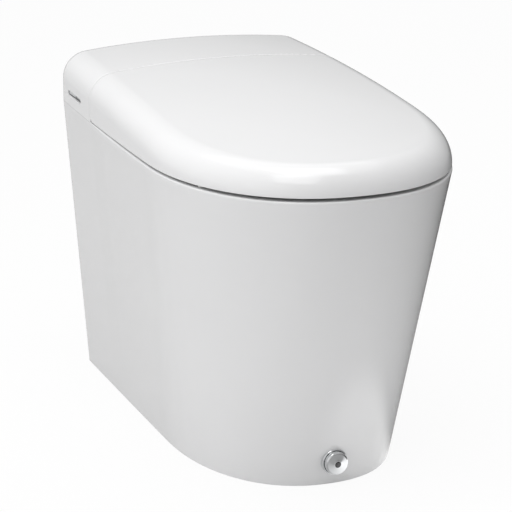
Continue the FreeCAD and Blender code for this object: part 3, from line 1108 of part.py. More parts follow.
def make_inlet_valve():
    """The inlet: a threaded tail pointing down, a body with its filter cap, and two side outlets."""
    x, y = INLET_X, at(INLET_DEPTH)
    thread = rod(INLET_THREAD_RADIUS, V(x, y, INLET_BODY_Z - INLET_THREAD_LENGTH), V(x, y, INLET_BODY_Z + 1.0))
    grooves = []
    for i in range(7):
        z = INLET_BODY_Z - 2.6 - i * 1.9
        grooves.append(tube(INLET_THREAD_RADIUS + 1.0, INLET_THREAD_RADIUS - 0.8, V(x, y, z), V(x, y, z + 0.9)))
    corners = [V(x + 15.0 * math.cos(math.radians(60 * i)), y + 15.0 * math.sin(math.radians(60 * i)), INLET_BODY_Z) for i in range(6)]
    nut = Part.Face(Part.makePolygon(corners + corners[:1])).extrude(V(0, 0, 8.0))
    body = rod(13.0, V(x, y, INLET_BODY_Z + 7.0), V(x, y, RIM_Z))
    outlets = rod(HOSE_RADIUS + 1.5, V(VALVE[0], y, HOSE_Z), V(TANK[1], y, HOSE_Z))
    way = rod(7.0, V(x, y, INLET_BODY_Z - INLET_THREAD_LENGTH - 1.0), V(x, y, HOSE_Z + 8.0))
    across = rod(HOSE_BORE, V(VALVE[0] + 1.0, y, HOSE_Z), V(TANK[1] - 1.0, y, HOSE_Z))
    return thread.cut(grooves).fuse([nut, body, outlets]).cut([way, across])


def make_heater_tank():
    """The instant water heater: a rounded tank with its element's cap and its outlet."""
    x0, x1, d0, d1, z0 = TANK
    tank = block(x0, x1, d0, d1, z0, RIM_Z - 4.0)
    tank = round_edges(tank, 8.0, lambda p, e: abs(p.z - (z0 + RIM_Z - 4.0) / 2.0) < 0.1)
    tank = bevel_edges(tank, 3.0, lambda p, e: abs(p.z - z0) < 0.1)
    cap = rod(14.0, V(x0 + 30.0, at((d0 + d1) / 2.0), z0 - 10.0), V(x0 + 30.0, at((d0 + d1) / 2.0), z0 + 1.0))
    outlet = rod(HOSE_TAIL, V(x1 - 16.0, at(d1 - 1.0), HOSE_Z), V(x1 - 16.0, at(d1 + 12.0), HOSE_Z))
    feet = [block(x, x + 12.0, d0 + 4.0, d1 - 4.0, RIM_Z - 5.0, RIM_Z) for x in (x0 + 8.0, x1 - 20.0)]
    return tank.fuse([cap, outlet] + feet)


def make_flush_valve():
    """The flush valve: a body under the base, its solenoid below and its outlet forward."""
    x0, x1, d0, d1, z0 = VALVE
    body = block(x0, x1, d0, d1, z0 + 14.0, RIM_Z)
    body = round_edges(body, 6.0, lambda p, e: abs(p.z - (z0 + 14.0 + RIM_Z) / 2.0) < 0.1)
    middle = V((x0 + x1) / 2.0, at((d0 + d1) / 2.0), 0.0)
    coil = rod(19.0, middle + V(0, 0, z0 - 14.0), middle + V(0, 0, z0 + 14.5))
    coil = bevel_edges(coil, 3.0, lambda p, e: abs(p.z - z0 + 14.0) < 0.1)
    outlet = rod(HOSE_TAIL, V(x1 - 10.0, at(d1 - 1.0), HOSE_Z), V(x1 - 10.0, at(d1 + 14.0), HOSE_Z))
    return body.fuse([coil, outlet])


def make_jet_hose():
    """The hose from the flush valve, under the dryer, to the jet in the bowl."""
    x1, d1 = VALVE[1], VALVE[3]
    return hose([(x1 - 10.0, d1 + 2.0, HOSE_Z), (x1 - 10.0, d1 + 26.0, HOSE_Z), (x1 - 4.0, d1 + 60.0, JET_PORT_Z),
                 (x1 - 4.0, 255.0, JET_PORT_Z), (JET_PORT_X, 290.0, JET_PORT_Z), (JET_PORT_X, JET_BACK - 2.0, JET_PORT_Z)])


def make_jet_nozzle():
    """The jet that stands in its port through the bowl's wall."""
    x, z = JET_PORT_X, JET_PORT_Z
    body = rod(JET_PORT_RADIUS - 0.2, V(x, at(JET_BACK), z), V(x, at(JET_FRONT), z))
    tail = rod(HOSE_TAIL, V(x, at(JET_BACK - 14.0), z), V(x, at(JET_BACK + 1.0), z))
    return body.fuse(tail).cut(rod(2.5, V(x, at(JET_BACK - 15.0), z), V(x, at(JET_FRONT + 1.0), z)))


def make_wand_hose():
    """The warm-water hose from the heater to its clip on the guide's flange."""
    x1, d1 = TANK[1], TANK[3]
    return hose([(x1 - 16.0, d1 + 1.0, HOSE_Z), (x1 - 16.0, d1 + 17.0, HOSE_Z), (NOZZLE_X - 22.0, 196.0, RIM_Z - 13.0),
                 (NOZZLE_X - 22.0, 232.0, RIM_Z - 13.0)])


def make_outlet_seal():
    """The ribbed rubber seal in the outlet's mouth."""
    x, y = 0.0, at(OUTLET_DEPTH)
    ring = tube(TRAP_BORE - 1.6, TRAP_BORE - 5.0, V(x, y, 0.0), V(x, y, SEAL_HEIGHT))
    ribs = [tube(TRAP_BORE - 0.1, TRAP_BORE - 3.0, V(x, y, z), V(x, y, z + 2.4)) for z in (3.0, 10.0, 17.0)]
    return ring.fuse(ribs)


# ---------------------------------------------------------------- deodoriser
def make_deodoriser_housing():
    """The small suction fan's drum with the filter's tray, hung from the base."""
    x, y, z0, z1 = DEODORISER_X, at(DEODORISER_DEPTH), DEODORISER_Z, DEODORISER_Z + DEODORISER_HEIGHT
    r = DEODORISER_RADIUS
    drum = rod(r, V(x, y, z0), V(x, y, z1)).cut(rod(r - 2.0, V(x, y, z0 + 2.0), V(x, y, z1 - 2.0)))
    tray = block(x - 22.0, x + 22.0, DEODORISER_DEPTH + r - 6.0, DEODORISER_DEPTH + r + 34.0, z0, z1)
    room = block(x - 20.0, x + 20.0, DEODORISER_DEPTH + r - 8.0, DEODORISER_DEPTH + r + 40.0, z0 + 2.0, z1 - 2.0)
    room = room.fuse(rod(r - 2.0, V(x, y, z0 + 2.0), V(x, y, z1 - 2.0)))
    posts = [rod(3.5, V(x + a, y + b, z1 - 1.0), V(x + a, y + b, RIM_Z)) for a, b in ((-24.0, 8.0), (24.0, 8.0), (0.0, -26.0))]
    outlet = rod(11.0, V(x, y, z1 - 3.0), V(x, y, z1 + 1.0))
    shaft = rod(2.0 + SHAFT_CLEARANCE, V(x, y, z0 - 1.0), V(x, y, z0 + 3.0))
    return drum.fuse(tray).cut([room, outlet, shaft]).fuse(posts)


def make_deodoriser_fan():
    """The suction fan's wheel."""
    centre, up = V(DEODORISER_X, at(DEODORISER_DEPTH), 0.0), V(0, 0, 1)
    z0, z1 = DEODORISER_Z + 3.0, DEODORISER_Z + DEODORISER_HEIGHT - 3.5
    r = DEODORISER_RADIUS - 4.0
    parts = [Part.makeCylinder(5.0, 8.0, centre + up * z0, up), rod(2.0, centre + up * DEODORISER_Z, centre + up * z0)]
    for i in range(9):
        blade = Part.makeBox(r - 4.0, 1.2, z1 - z0, centre + V(4.0, -0.6, z0))
        blade.rotate(centre, up, i * 40.0)
        parts.append(blade)
    return Part.makeCylinder(r, 1.4, centre + up * z0, up).fuse(parts)


def make_deodoriser_filter():
    """The filter cartridge in its tray, a frame round slats."""
    x, d = DEODORISER_X, DEODORISER_DEPTH + DEODORISER_RADIUS
    z0, z1 = DEODORISER_Z + 2.05, DEODORISER_Z + DEODORISER_HEIGHT - 2.3
    frame = block(x - 19.6, x + 19.6, d + 14.0, d + 35.0, z0, z1).cut(block(x - 17.5, x + 17.5, d + 13.0, d + 40.0, z0 + 2.0, z1 - 2.0))
    slats = [block(x - 18.0, x + 18.0, d + 15.0, d + 33.0, z0 + 4.0 + i * 4.0, z0 + 5.2 + i * 4.0) for i in range(4)]
    grip = block(x - 8.0, x + 8.0, d + 34.0, d + 39.0, z0, z0 + 2.0)
    return frame.fuse(slats + [grip])


# ---------------------------------------------------------------- electric parts
def make_control_board():
    """The control board on its four posts, with its larger components."""
    x0, x1, d0, d1 = BOARD
    board = block(x0, x1, d0, d1, PLATE_TOP + 6.0, PLATE_TOP + 7.6)
    posts = [rod(3.0, V(x, at(d), PLATE_TOP), V(x, at(d), PLATE_TOP + 6.5)) for x in (x0 + 5.0, x1 - 5.0) for d in (d0 + 5.0, d1 - 5.0)]
    z = PLATE_TOP + 7.0
    chips = [
        block(x0 + 14.0, x0 + 34.0, d0 + 20.0, d0 + 40.0, z, z + 3.0),
        block(x0 + 44.0, x0 + 62.0, d0 + 14.0, d0 + 29.0, z, z + 16.0),
        block(x0 + 68.0, x0 + 86.0, d0 + 14.0, d0 + 29.0, z, z + 16.0),
        block(x0 + 12.0, x0 + 60.0, d1 - 14.0, d1 - 5.0, z, z + 9.0),
    ]
    cans = [rod(5.0, V(x0 + 50.0 + i * 14.0, at(d0 + 54.0), z), V(x0 + 50.0 + i * 14.0, at(d0 + 54.0), z + 18.0)) for i in range(3)]
    return board.fuse(posts + chips + cans)


def make_power_supply():
    """The sealed supply box with its ribs and the cable gland's spigot."""
    x0, x1, d0, d1 = SUPPLY
    box = block(x0, x1, d0, d1, PLATE_TOP, PLATE_TOP + 32.0)
    box = round_edges(box, 4.0, lambda p, e: abs(p.z - PLATE_TOP - 16.0) < 0.1 or p.z > PLATE_TOP + 31.9)
    ribs = [block(x0 + 10.0 + i * 12.0, x0 + 13.0 + i * 12.0, d0 + 8.0, d1 - 8.0, PLATE_TOP + 31.0, PLATE_TOP + 35.0) for i in range(7)]
    spigot = rod(6.0, V(x1 - 20.0, at(d0 + 1.0), PLATE_TOP + 14.0), V(x1 - 20.0, at(d0 - 8.0), PLATE_TOP + 14.0))
    return box.fuse(ribs + [spigot])


def make_anchor_bolts():
    """The four bolts and nuts that hold the unit on the deck."""
    parts = []
    for x, depth in anchors():
        y = at(depth)
        shank = rod(ANCHOR_RADIUS, V(x, y, RIM_Z - DECK_THICKNESS - 9.0), V(x, y, PLATE_TOP + 1.0))
        head = rod(6.0, V(x, y, PLATE_TOP), V(x, y, PLATE_TOP + 4.0))
        socket = rod(2.4, V(x, y, PLATE_TOP + 1.8), V(x, y, PLATE_TOP + 5.0))
        nut = rod(7.5, V(x, y, RIM_Z - DECK_THICKNESS - 6.0), V(x, y, RIM_Z - DECK_THICKNESS))
        parts.append(shank.fuse([head, nut]).cut(socket))
    return group(parts)


NODES = {
    "ceramic_body": make_ceramic_body,
    "rear_cover": make_rear_cover,
    "lid_shell": make_lid_shell,
    "lid_liner": make_lid_liner,
    "lid_bumpers": make_lid_bumpers,
    "seat_upper": make_seat_upper,
    "seat_lower": make_seat_lower,
    "seat_heater": make_seat_heater,
    "seat_bumpers": make_seat_bumpers,
    "hinge_housing": make_hinge_housing,
    "lid_damper": lambda: make_damper(-1),
    "seat_damper": lambda: make_damper(1),
    "lid_shaft": lambda: make_shaft(-1),
    "seat_shaft": lambda: make_shaft(1),
    "nozzle_tip": make_nozzle_tip,
    "nozzle_wand": make_nozzle_wand,
    "nozzle_rack": make_nozzle_rack,
    "nozzle_pinion": make_nozzle_pinion,
    "nozzle_guide": make_nozzle_guide,
    "nozzle_motor": make_nozzle_motor,
    "unit_base": make_unit_base,
    "anchor_bolts": make_anchor_bolts,
    "nozzle_cowl": make_nozzle_cowl,
    "night_light": make_night_light,
    "dryer_duct": make_dryer_duct,
    "dryer_fan_housing": make_dryer_fan_housing,
    "dryer_impeller": make_dryer_impeller,
    "dryer_motor": make_dryer_motor,
    "dryer_flap": make_dryer_flap,
    "deodoriser_housing": make_deodoriser_housing,
    "deodoriser_fan": make_deodoriser_fan,
    "deodoriser_filter": make_deodoriser_filter,
    "inlet_valve": make_inlet_valve,
    "heater_tank": make_heater_tank,
    "flush_valve": make_flush_valve,
    "jet_hose": make_jet_hose,
    "jet_nozzle": make_jet_nozzle,
    "wand_hose": make_wand_hose,
    "outlet_seal": make_outlet_seal,
    "control_board": make_control_board,
    "power_supply": make_power_supply,
    "foot_bezel": make_foot_bezel,
    "foot_button": make_foot_button,
    "foot_lens": make_foot_lens,
    "foot_switch": make_foot_switch,
    "foot_spring": make_foot_spring,
    "key_frame": make_key_frame,
    "rear_key": lambda: make_key(0),
    "front_key": lambda: make_key(1),
}


def main():
    """Builds every piece and writes it to its own file."""
    os.makedirs("parts", exist_ok=True)
    for name, make in NODES.items():
        shape = make()
        if not shape.isValid():
            print("invalid shape:", name)
        shape.exportStep("parts/" + name + ".step")
        print(name, len(shape.Solids))


if __name__ == "__main__":
    main()
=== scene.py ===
"""The looks of a smart toilet with a heated seat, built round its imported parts."""

import logging
import math
from dataclasses import dataclass
from enum import Enum
from typing import Callable, Sequence

import bmesh
import bpy
from mathutils import Matrix, Vector

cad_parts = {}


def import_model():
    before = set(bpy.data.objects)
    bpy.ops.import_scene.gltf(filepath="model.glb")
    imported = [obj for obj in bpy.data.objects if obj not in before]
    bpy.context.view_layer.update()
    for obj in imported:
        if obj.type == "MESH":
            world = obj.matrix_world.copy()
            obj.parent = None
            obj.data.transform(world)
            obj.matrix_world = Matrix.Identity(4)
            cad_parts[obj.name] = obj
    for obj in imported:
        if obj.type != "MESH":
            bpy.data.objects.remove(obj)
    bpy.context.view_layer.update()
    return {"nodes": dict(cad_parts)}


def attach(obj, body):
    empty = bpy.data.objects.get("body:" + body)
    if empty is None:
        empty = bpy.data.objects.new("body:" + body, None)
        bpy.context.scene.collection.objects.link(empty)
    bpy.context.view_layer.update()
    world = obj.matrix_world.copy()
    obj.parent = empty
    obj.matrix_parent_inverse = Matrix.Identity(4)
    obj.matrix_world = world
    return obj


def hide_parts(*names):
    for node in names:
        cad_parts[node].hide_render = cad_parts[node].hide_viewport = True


LOG = logging.getLogger("smart_toilet")
MM = 0.001
BACK_Y = 344.0  # the y of the toilet's back, in millimetres
# How close points become one: on a bent grid, a turned piece, after a cut and on a cutting plane, in metres.
WELD, TURNED_WELD, CUT_WELD, PLANE_WELD = 0.00001, 0.000005, 0.000002, 0.000001
# How far an edge bends to stay sharp, to stay sharp after a cut, and to be softened on a wall, in degrees.
SHARP, CUT_SHARP, SOFT_FROM = 35.0, 40.0, 50.0
SOFT_SEGMENTS = 3  # faces across a softened edge
ACROSS = Vector((1.0, 0.0, 0.0))
FORWARD = Vector((0.0, -1.0, 0.0))

Mesh = bmesh.types.BMesh
Object = bpy.types.Object
Tree = bpy.types.NodeTree
Node = bpy.types.Node
Socket = bpy.types.NodeSocket
Pair = tuple[float, float]
Pairs = Sequence[Pair]
Place = Callable[[float, float], Vector]
Triple = tuple[float, float, float]
Row = tuple[float, ...]


# ---------- shared geometry
def point(x: float, depth: float, z: float) -> Vector:
    """Turns a place in millimetres, measured from the back of the toilet, into metres in the frame."""
    return Vector((x, BACK_Y - depth, z)) * MM


def spread(value: float, stops: Pairs) -> float:
    """Maps a share of a grid to a parameter along pieces of unequal length.

    Args:
        value: The share, 0 to 1.
        stops: Pairs of share and parameter, in order.

    Returns:
        The parameter, linear between its two neighbouring stops.
    """
    for (a, p), (b, q) in zip(stops, stops[1:]):
        if value <= b + 1e-9:
            return p + (q - p) * (value - a) / (b - a)
    return stops[-1][1]


def mapped_grid(rows: int, columns: int, place: Place) -> Mesh:
    """Bends a flat grid into a surface and adds its other half across the middle plane.

    Args:
        rows: Faces along the first parameter.
        columns: Faces along the second parameter.
        place: Gives the point for two shares from 0 to 1.

    Returns:
        A welded mesh with its faces pointing one way.
    """
    bm = bmesh.new()
    bmesh.ops.create_grid(bm, x_segments=rows, y_segments=columns, size=0.5)
    for vert in bm.verts:
        vert.co = place(vert.co.x + 0.5, vert.co.y + 0.5)
    bmesh.ops.mirror(bm, geom=bm.verts[:] + bm.edges[:] + bm.faces[:], axis="X", merge_dist=WELD)
    bmesh.ops.remove_doubles(bm, verts=bm.verts, dist=WELD)
    bmesh.ops.recalc_face_normals(bm, faces=bm.faces)
    return bm


def cut_across(bm: Mesh, depth: float, keep_front: bool) -> None:
    """Cuts a mesh across and keeps its front or its back.

    Args:
        bm: The mesh.
        depth: Where, in millimetres.
        keep_front: Whether the front stays.
    """
    bmesh.ops.bisect_plane(
        bm, geom=bm.verts[:] + bm.edges[:] + bm.faces[:], dist=PLANE_WELD,
        plane_co=point(0.0, depth, 0.0), plane_no=Vector((0.0, 1.0, 0.0)),
        clear_outer=keep_front, clear_inner=not keep_front,
    )


def mark_sharp(bm: Mesh, degrees: float) -> None:
    """Makes a mesh smooth but for its sharp edges.

    Args:
        bm: The mesh.
        degrees: Edges that bend more stay sharp.
    """
    limit = math.radians(degrees)
    for face in bm.faces:
        face.smooth = True
    for edge in bm.edges:
        edge.smooth = not (len(edge.link_faces) == 2 and edge.calc_face_angle(0.0) > limit)


def finish_mesh(bm: Mesh, name: str, sharp_degrees: float = SHARP) -> Object:
    """Makes an object of a mesh, smooth but for its sharp edges.

    Args:
        bm: The mesh, which is freed.
        name: The object's name.
        sharp_degrees: Edges that bend more stay sharp.

    Returns:
        The linked object, at the origin.
    """
    mark_sharp(bm, sharp_degrees)
    mesh = bpy.data.meshes.new(name)
    bm.to_mesh(mesh)
    bm.free()
    obj = bpy.data.objects.new(name, mesh)
    bpy.context.scene.collection.objects.link(obj)
    return obj


def turned(profile: Pairs, base: Vector, axis: Vector, steps: int = 64) -> Mesh:
    """Spins a profile about an axis.

    Args:
        profile: Pairs of radius and distance along the axis, in millimetres.
        base: Where distance 0 is, in metres.
        axis: The direction of the axis.
        steps: Faces round the turn.

    Returns:
        The turned mesh.
    """
    bm = bmesh.new()
    turn = Vector((0.0, 0.0, 1.0)).rotation_difference(axis).to_matrix().to_4x4()
    verts = [bm.verts.new(Vector((radius, 0.0, along)) * MM) for radius, along in profile]
    edges = [bm.edges.new(pair) for pair in zip(verts, verts[1:])]
    bmesh.ops.spin(
        bm, geom=verts + edges, cent=(0, 0, 0), axis=(0, 0, 1), angle=math.tau, steps=steps, use_merge=True
    )
    bmesh.ops.remove_doubles(bm, verts=bm.verts, dist=TURNED_WELD)
    bmesh.ops.recalc_face_normals(bm, faces=bm.faces)
    bmesh.ops.transform(bm, matrix=Matrix.Translation(base) @ turn, verts=bm.verts)
    return bm


def rod(radius: float, length: float, base: Vector, axis: Vector, steps: int = 64) -> Mesh:
    """A plain round bar, with its radius and length in millimetres."""
    return turned(((0.0, 0.0), (radius, 0.0), (radius, length), (0.0, length)), base, axis, steps)


def rounded_box(low: Vector, high: Vector, radius: float, segments: int = 3) -> Mesh:
    """A box between two corners with all its edges rounded.

    Args:
        low: One corner, in metres.
        high: The corner across from it, in metres.
        radius: The rounding, in millimetres.
        segments: Faces across each rounded edge.

    Returns:
        The mesh of the box.
    """
    bm = bmesh.new()
    middle = Matrix.Translation((low + high) / 2.0) @ Matrix.Diagonal((*(high - low), 1.0))
    bmesh.ops.create_cube(bm, size=1.0, matrix=middle)
    round_edges(bm, radius, segments)
    bmesh.ops.recalc_face_normals(bm, faces=bm.faces)
    return bm


def round_edges(bm: Mesh, radius: float, segments: int) -> None:
    """Rounds every edge of a mesh to a radius in millimetres."""
    bmesh.ops.bevel(bm, geom=bm.edges[:], offset=radius * MM, segments=segments, profile=0.5,
                    affect="EDGES", material=-1, clamp_overlap=True)


def add_wall(obj: Object, thickness: float, edge: float) -> None:
    """Gives a skin its wall, grown inwards, and softens the wall's edges.

    Args:
        obj: The object with the skin.
        thickness: The wall, in millimetres.
        edge: The rounding of its edges, in millimetres.
    """
    wall = obj.modifiers.new("wall", "SOLIDIFY")
    wall.thickness = thickness * MM
    wall.offset = -1.0
    wall.use_even_offset = True
    soften = obj.modifiers.new("soft_edges", "BEVEL")
    soften.width = edge * MM
    soften.segments = SOFT_SEGMENTS
    soften.limit_method = "ANGLE"
    soften.angle_limit = math.radians(SOFT_FROM)
    soften.harden_normals = True


def subtract(obj: Object, cutters: Sequence[Mesh], sharp_degrees: float = CUT_SHARP) -> None:
    """Cuts shapes out of an object for good and marks its sharp edges again.

    Args:
        obj: The object; its modifiers are applied.
        cutters: The shapes, which are freed.
        sharp_degrees: Edges that bend more stay sharp.
    """
    for number, cutter in enumerate(cutters):
        tool = finish_mesh(cutter, "cutter_%d" % number)
        hole = obj.modifiers.new("hole", "BOOLEAN")
        hole.operation = "DIFFERENCE"
        hole.solver = "MANIFOLD"
        hole.object = tool
        depsgraph = bpy.context.evaluated_depsgraph_get()
        result = bpy.data.meshes.new_from_object(obj.evaluated_get(depsgraph))
        obj.modifiers.clear()
        old = obj.data
        obj.data = result
        result.name = old.name
        bpy.data.meshes.remove(old)
        bpy.data.objects.remove(tool)
    bm = bmesh.new()
    bm.from_mesh(obj.data)
    bmesh.ops.remove_doubles(bm, verts=bm.verts, dist=CUT_WELD)
    mark_sharp(bm, sharp_degrees)
    bm.to_mesh(obj.data)
    bm.free()


# ---------- the toilet's outline and crowned top
@dataclass(frozen=True)
class Outline:
    """A D-shaped outline seen from above, in millimetres.

    Its left half runs from the middle of the back (0) through the corner's start (1) and end (2) and the
    widest place (3) to the tip (4).
    """

    half_width: float
    rear_half_width: float
    widest: float
    length: float
    corner: float
    back: float = 0.0
    nose_power: float = 2.22
    square_before: float = 0.001
    square_after: float = 3.995
    tangent_step: float = 0.002

    def side_x(self, depth: float) -> float:
        """Half the width at a depth behind the widest place."""
        widening = math.sin(depth / self.widest * math.pi / 2.0)
        return self.rear_half_width + (self.half_width - self.rear_half_width) * widening

    def at(self, t: float) -> Vector:
        """A point of the left half.

        Args:
            t: The parameter, from 0 to 4.

        Returns:
            The point, as x and depth.
        """
        r = self.corner
        rear_x = self.side_x(self.back + r)
        if t <= 1.0:
            return Vector((-(rear_x - r) * t, self.back))
        if t <= 2.0:
            a = (t - 1.0) * math.pi / 2.0
            return Vector((-(rear_x - r) - r * math.sin(a), self.back + r - r * math.cos(a)))
        if t <= 3.0:
            depth = self.back + r + (self.widest - self.back - r) * (t - 2.0)
            return Vector((-self.side_x(depth), depth))
        a = min(t - 3.0, 1.0) * math.pi / 2.0
        power = 2.0 / self.nose_power
        x = self.half_width * max(math.cos(a), 0.0) ** power
        return Vector((-x, self.widest + (self.length - self.widest) * math.sin(a) ** power))

    def inward(self, t: float) -> Vector:
        """The unit normal that points into the outline.

        Args:
            t: The parameter, from 0 to 4.

        Returns:
            The normal, as x and depth, square to the middle plane at both ends.
        """
        if t <= self.square_before:
            return Vector((0.0, 1.0))
        if t >= self.square_after:
            return Vector((0.0, -1.0))
        ahead = self.at(t + self.tangent_step) - self.at(t - self.tangent_step)
        return Vector((ahead.y, -ahead.x)).normalized()

    def inset(self, t: float, amount: float) -> Vector:
        """The point moved in from the outline."""
        place = self.at(t) + self.inward(t) * amount
        return Vector((min(place.x, 0.0), place.y))


OUTLINE_STOPS = ((0.0, 0.0), (0.13, 1.0), (0.28, 2.0), (0.56, 3.0), (1.0, 4.0))
RIM = Outline(197.5, 185.5, 431.0, 688.0, 41.0)
BASE = Outline(148.0, 147.0, 359.0, 585.0, 8.0)
TOP_EDGE = Outline(196.5, 184.5, 431.0, 687.0, 40.0, back=1.0)


@dataclass(frozen=True)
class CrownedTop:
    """The one crowned form that the lid and the rear cover share, in millimetres.

    Its sides fall by an amount at a distance from the middle. The stops of its skin are the foot, both ends
    of the shoulder and the spine.
    """

    back_z: float = 487.5
    seam_z: float = 485.5
    front_z: float = 447.4
    fall: float = 14.1
    fall_at: float = 200.0
    seam: float = 178.0
    gap: float = 0.9
    rounding: float = 39.0
    least_wall: float = 2.0
    spine_start: float = 80.0
    spine_end: float = 560.0
    grid: tuple[int, int] = (180, 96)
    stops: Pairs = ((0.0, 0.0), (0.16, 1.0), (0.6, 2.0), (1.0, 3.0))

    def height(self, x: float, depth: float) -> float:
        """The crown's height: a curve through three heights of the middle, less the fall to the side.

        Args:
            x: The distance from the middle.
            depth: The distance from the back.

        Returns:
            The height over the floor.
        """
        places = ((0.0, self.back_z), (self.seam, self.seam_z), (RIM.length, self.front_z))
        total = 0.0
        for here, z in places:
            weight = 1.0
            for other, _ in places:
                if other != here:
                    weight *= (depth - other) / (here - other)
            total += z * weight
        return total - self.fall * (x / self.fall_at) ** 2

    def rise(self, flat: Vector) -> Vector:
        """The upward normal of the crown.

        Args:
            flat: The place, as x and depth.

        Returns:
            The normal, as x, depth and z.
        """
        across = self.height(flat.x + 1.0, flat.y) - self.height(flat.x - 1.0, flat.y)
        along = self.height(flat.x, flat.y + 1.0) - self.height(flat.x, flat.y - 1.0)
        return Vector((-across / 2.0, -along / 2.0, 1.0))

    def place(self, foot: Callable[[float], float]) -> Place:
        """Gives the skin, from its foot up over the shoulder to the spine.

        Args:
            foot: The height of its lower edge at a depth.

        Returns:
            The function of the way round and the way up.
        """
        def on_top(u: float, v: float) -> Vector:
            """The skin's point.

            Args:
                u: The share of the way round.
                v: The share of the way up.

            Returns:
                The point, in metres.
            """
            t = spread(u, OUTLINE_STOPS)
            inward = TOP_EDGE.inward(t)
            centre = TOP_EDGE.inset(t, self.rounding)
            normal = self.rise(centre)
            axle_z = self.height(centre.x, centre.y) - self.rounding * normal.length
            axle = Vector((centre.x, centre.y, axle_z))
            normal.normalize()
            outward = Vector((-inward.x, -inward.y, 0.0))
            span = outward.angle(normal)
            low = foot(axle.y + outward.y * self.rounding)
            wall_top = max(axle.z, low + self.least_wall)
            stage = spread(v, self.stops)
            z = min(low + (wall_top - low) * stage, wall_top)
            turn = math.asin(min(max((z - axle.z) / self.rounding, 0.0), 1.0)) / span
            turn += (1.0 - turn) * min(max(stage - 1.0, 0.0), 1.0)
            spot = axle + outward.slerp(normal, turn) * self.rounding
            if stage < 1.0:
                spot.z = z
            if stage > 2.0:
                spine = Vector((0.0, self.spine_start + (self.spine_end - self.spine_start) * u))
                flat = spot.to_2d().lerp(spine, stage - 2.0)
                spot = Vector((flat.x, flat.y, self.height(flat.x, flat.y)))
            return point(min(spot.x, 0.0), spot.y, spot.z)

        return on_top


TOP = CrownedTop()


def around_ellipse(centre: float, half_width: float, half_length: float, toward: Vector) -> Vector:
    """The point of an ellipse on the line from its centre towards a place.

    Args:
        centre: The depth of the ellipse's centre.
        half_width: Half its width.
        half_length: Half its length.
        toward: The place, as x and depth.

    Returns:
        The point, as x and depth.
    """
    way = toward - Vector((0.0, centre))
    size = math.hypot(way.x / half_width, way.y / half_length)
    return Vector((0.0, centre)) + way / size


# ---------- shader node groups
# How much finer noise the drift of colour, the bumps, the gloss and the brushed lines hold.
DRIFT_DETAIL, RELIEF_DETAIL, SMEAR_DETAIL, LINE_DETAIL = 2.0, 3.0, 4.0, 2.0
SMEAR_SIZE = 35.0  # the size of a patch of gloss, in millimetres
LINE_STRETCH = 0.02  # the noise's change along a brushed line as a share of that across
LEAST_ROUGHNESS, LEAST_BRUSHED_ROUGHNESS = 0.02, 0.03
COAT_ROUGHNESS = 0.04
SUBSURFACE_SCALE = 0.004  # in metres


def new_group(name: str, inputs: Sequence[str], outputs: Sequence[str]) -> Tree:
    """Starts a shader node group, whose sockets are numbers but for the colour.

    Args:
        name: The group's name.
        inputs: The name of each input.
        outputs: The name of each output.

    Returns:
        The group with its input and output nodes.
    """
    group = bpy.data.node_groups.new(name, "ShaderNodeTree")
    for way, labels in (("INPUT", inputs), ("OUTPUT", outputs)):
        for label in labels:
            kind = "NodeSocketColor" if label == "Colour" else "NodeSocketFloat"
            group.interface.new_socket(label, in_out=way, socket_type=kind)
    group.nodes.new("NodeGroupInput").name = "in"
    group.nodes.new("NodeGroupOutput").name = "out"
    return group


def fill(node: Node, values: dict[str | int, object]) -> Node:
    """Sets inputs of a shader node.

    Args:
        node: The node.
        values: Each input's value or the socket it is linked to, by name or number.

    Returns:
        The same node.
    """
    for key, value in values.items():
        if isinstance(value, Socket):
            node.id_data.links.new(value, node.inputs[key])
        else:
            node.inputs[key].default_value = value
    return node


def add_node(tree: Tree, kind: str, values: dict[str | int, object]) -> Node:
    """Adds a shader node with its inputs."""
    return fill(tree.nodes.new("ShaderNode" + kind), values)


def calculate(tree: Tree, operation: str, *values: float | Socket) -> Socket:
    """Adds a Math node.

    Args:
        tree: The node tree.
        operation: The node's operation.
        *values: Numbers or sockets for its inputs.

    Returns:
        Its output.
    """
    node = add_node(tree, "Math", dict(enumerate(values)))
    node.operation = operation
    return node.outputs[0]


def sway(tree: Tree, noise: Socket, amount: Socket, middle: float | Socket) -> Socket:
    """Lets a noise from 0 to 1 move a value about its middle by half an amount either way."""
    return calculate(tree, "MULTIPLY_ADD", calculate(tree, "SUBTRACT", noise, 0.5), amount, middle)


def cloud(tree: Tree, place: Socket, size: float | Socket, detail: float) -> Socket:
    """Adds a noise texture with blobs of a size in millimetres and finer noise to a level of detail."""
    scale = calculate(tree, "DIVIDE", 1.0 / MM, size)
    return add_node(tree, "TexNoise", {"Detail": detail, "Vector": place, "Scale": scale}).outputs["Fac"]


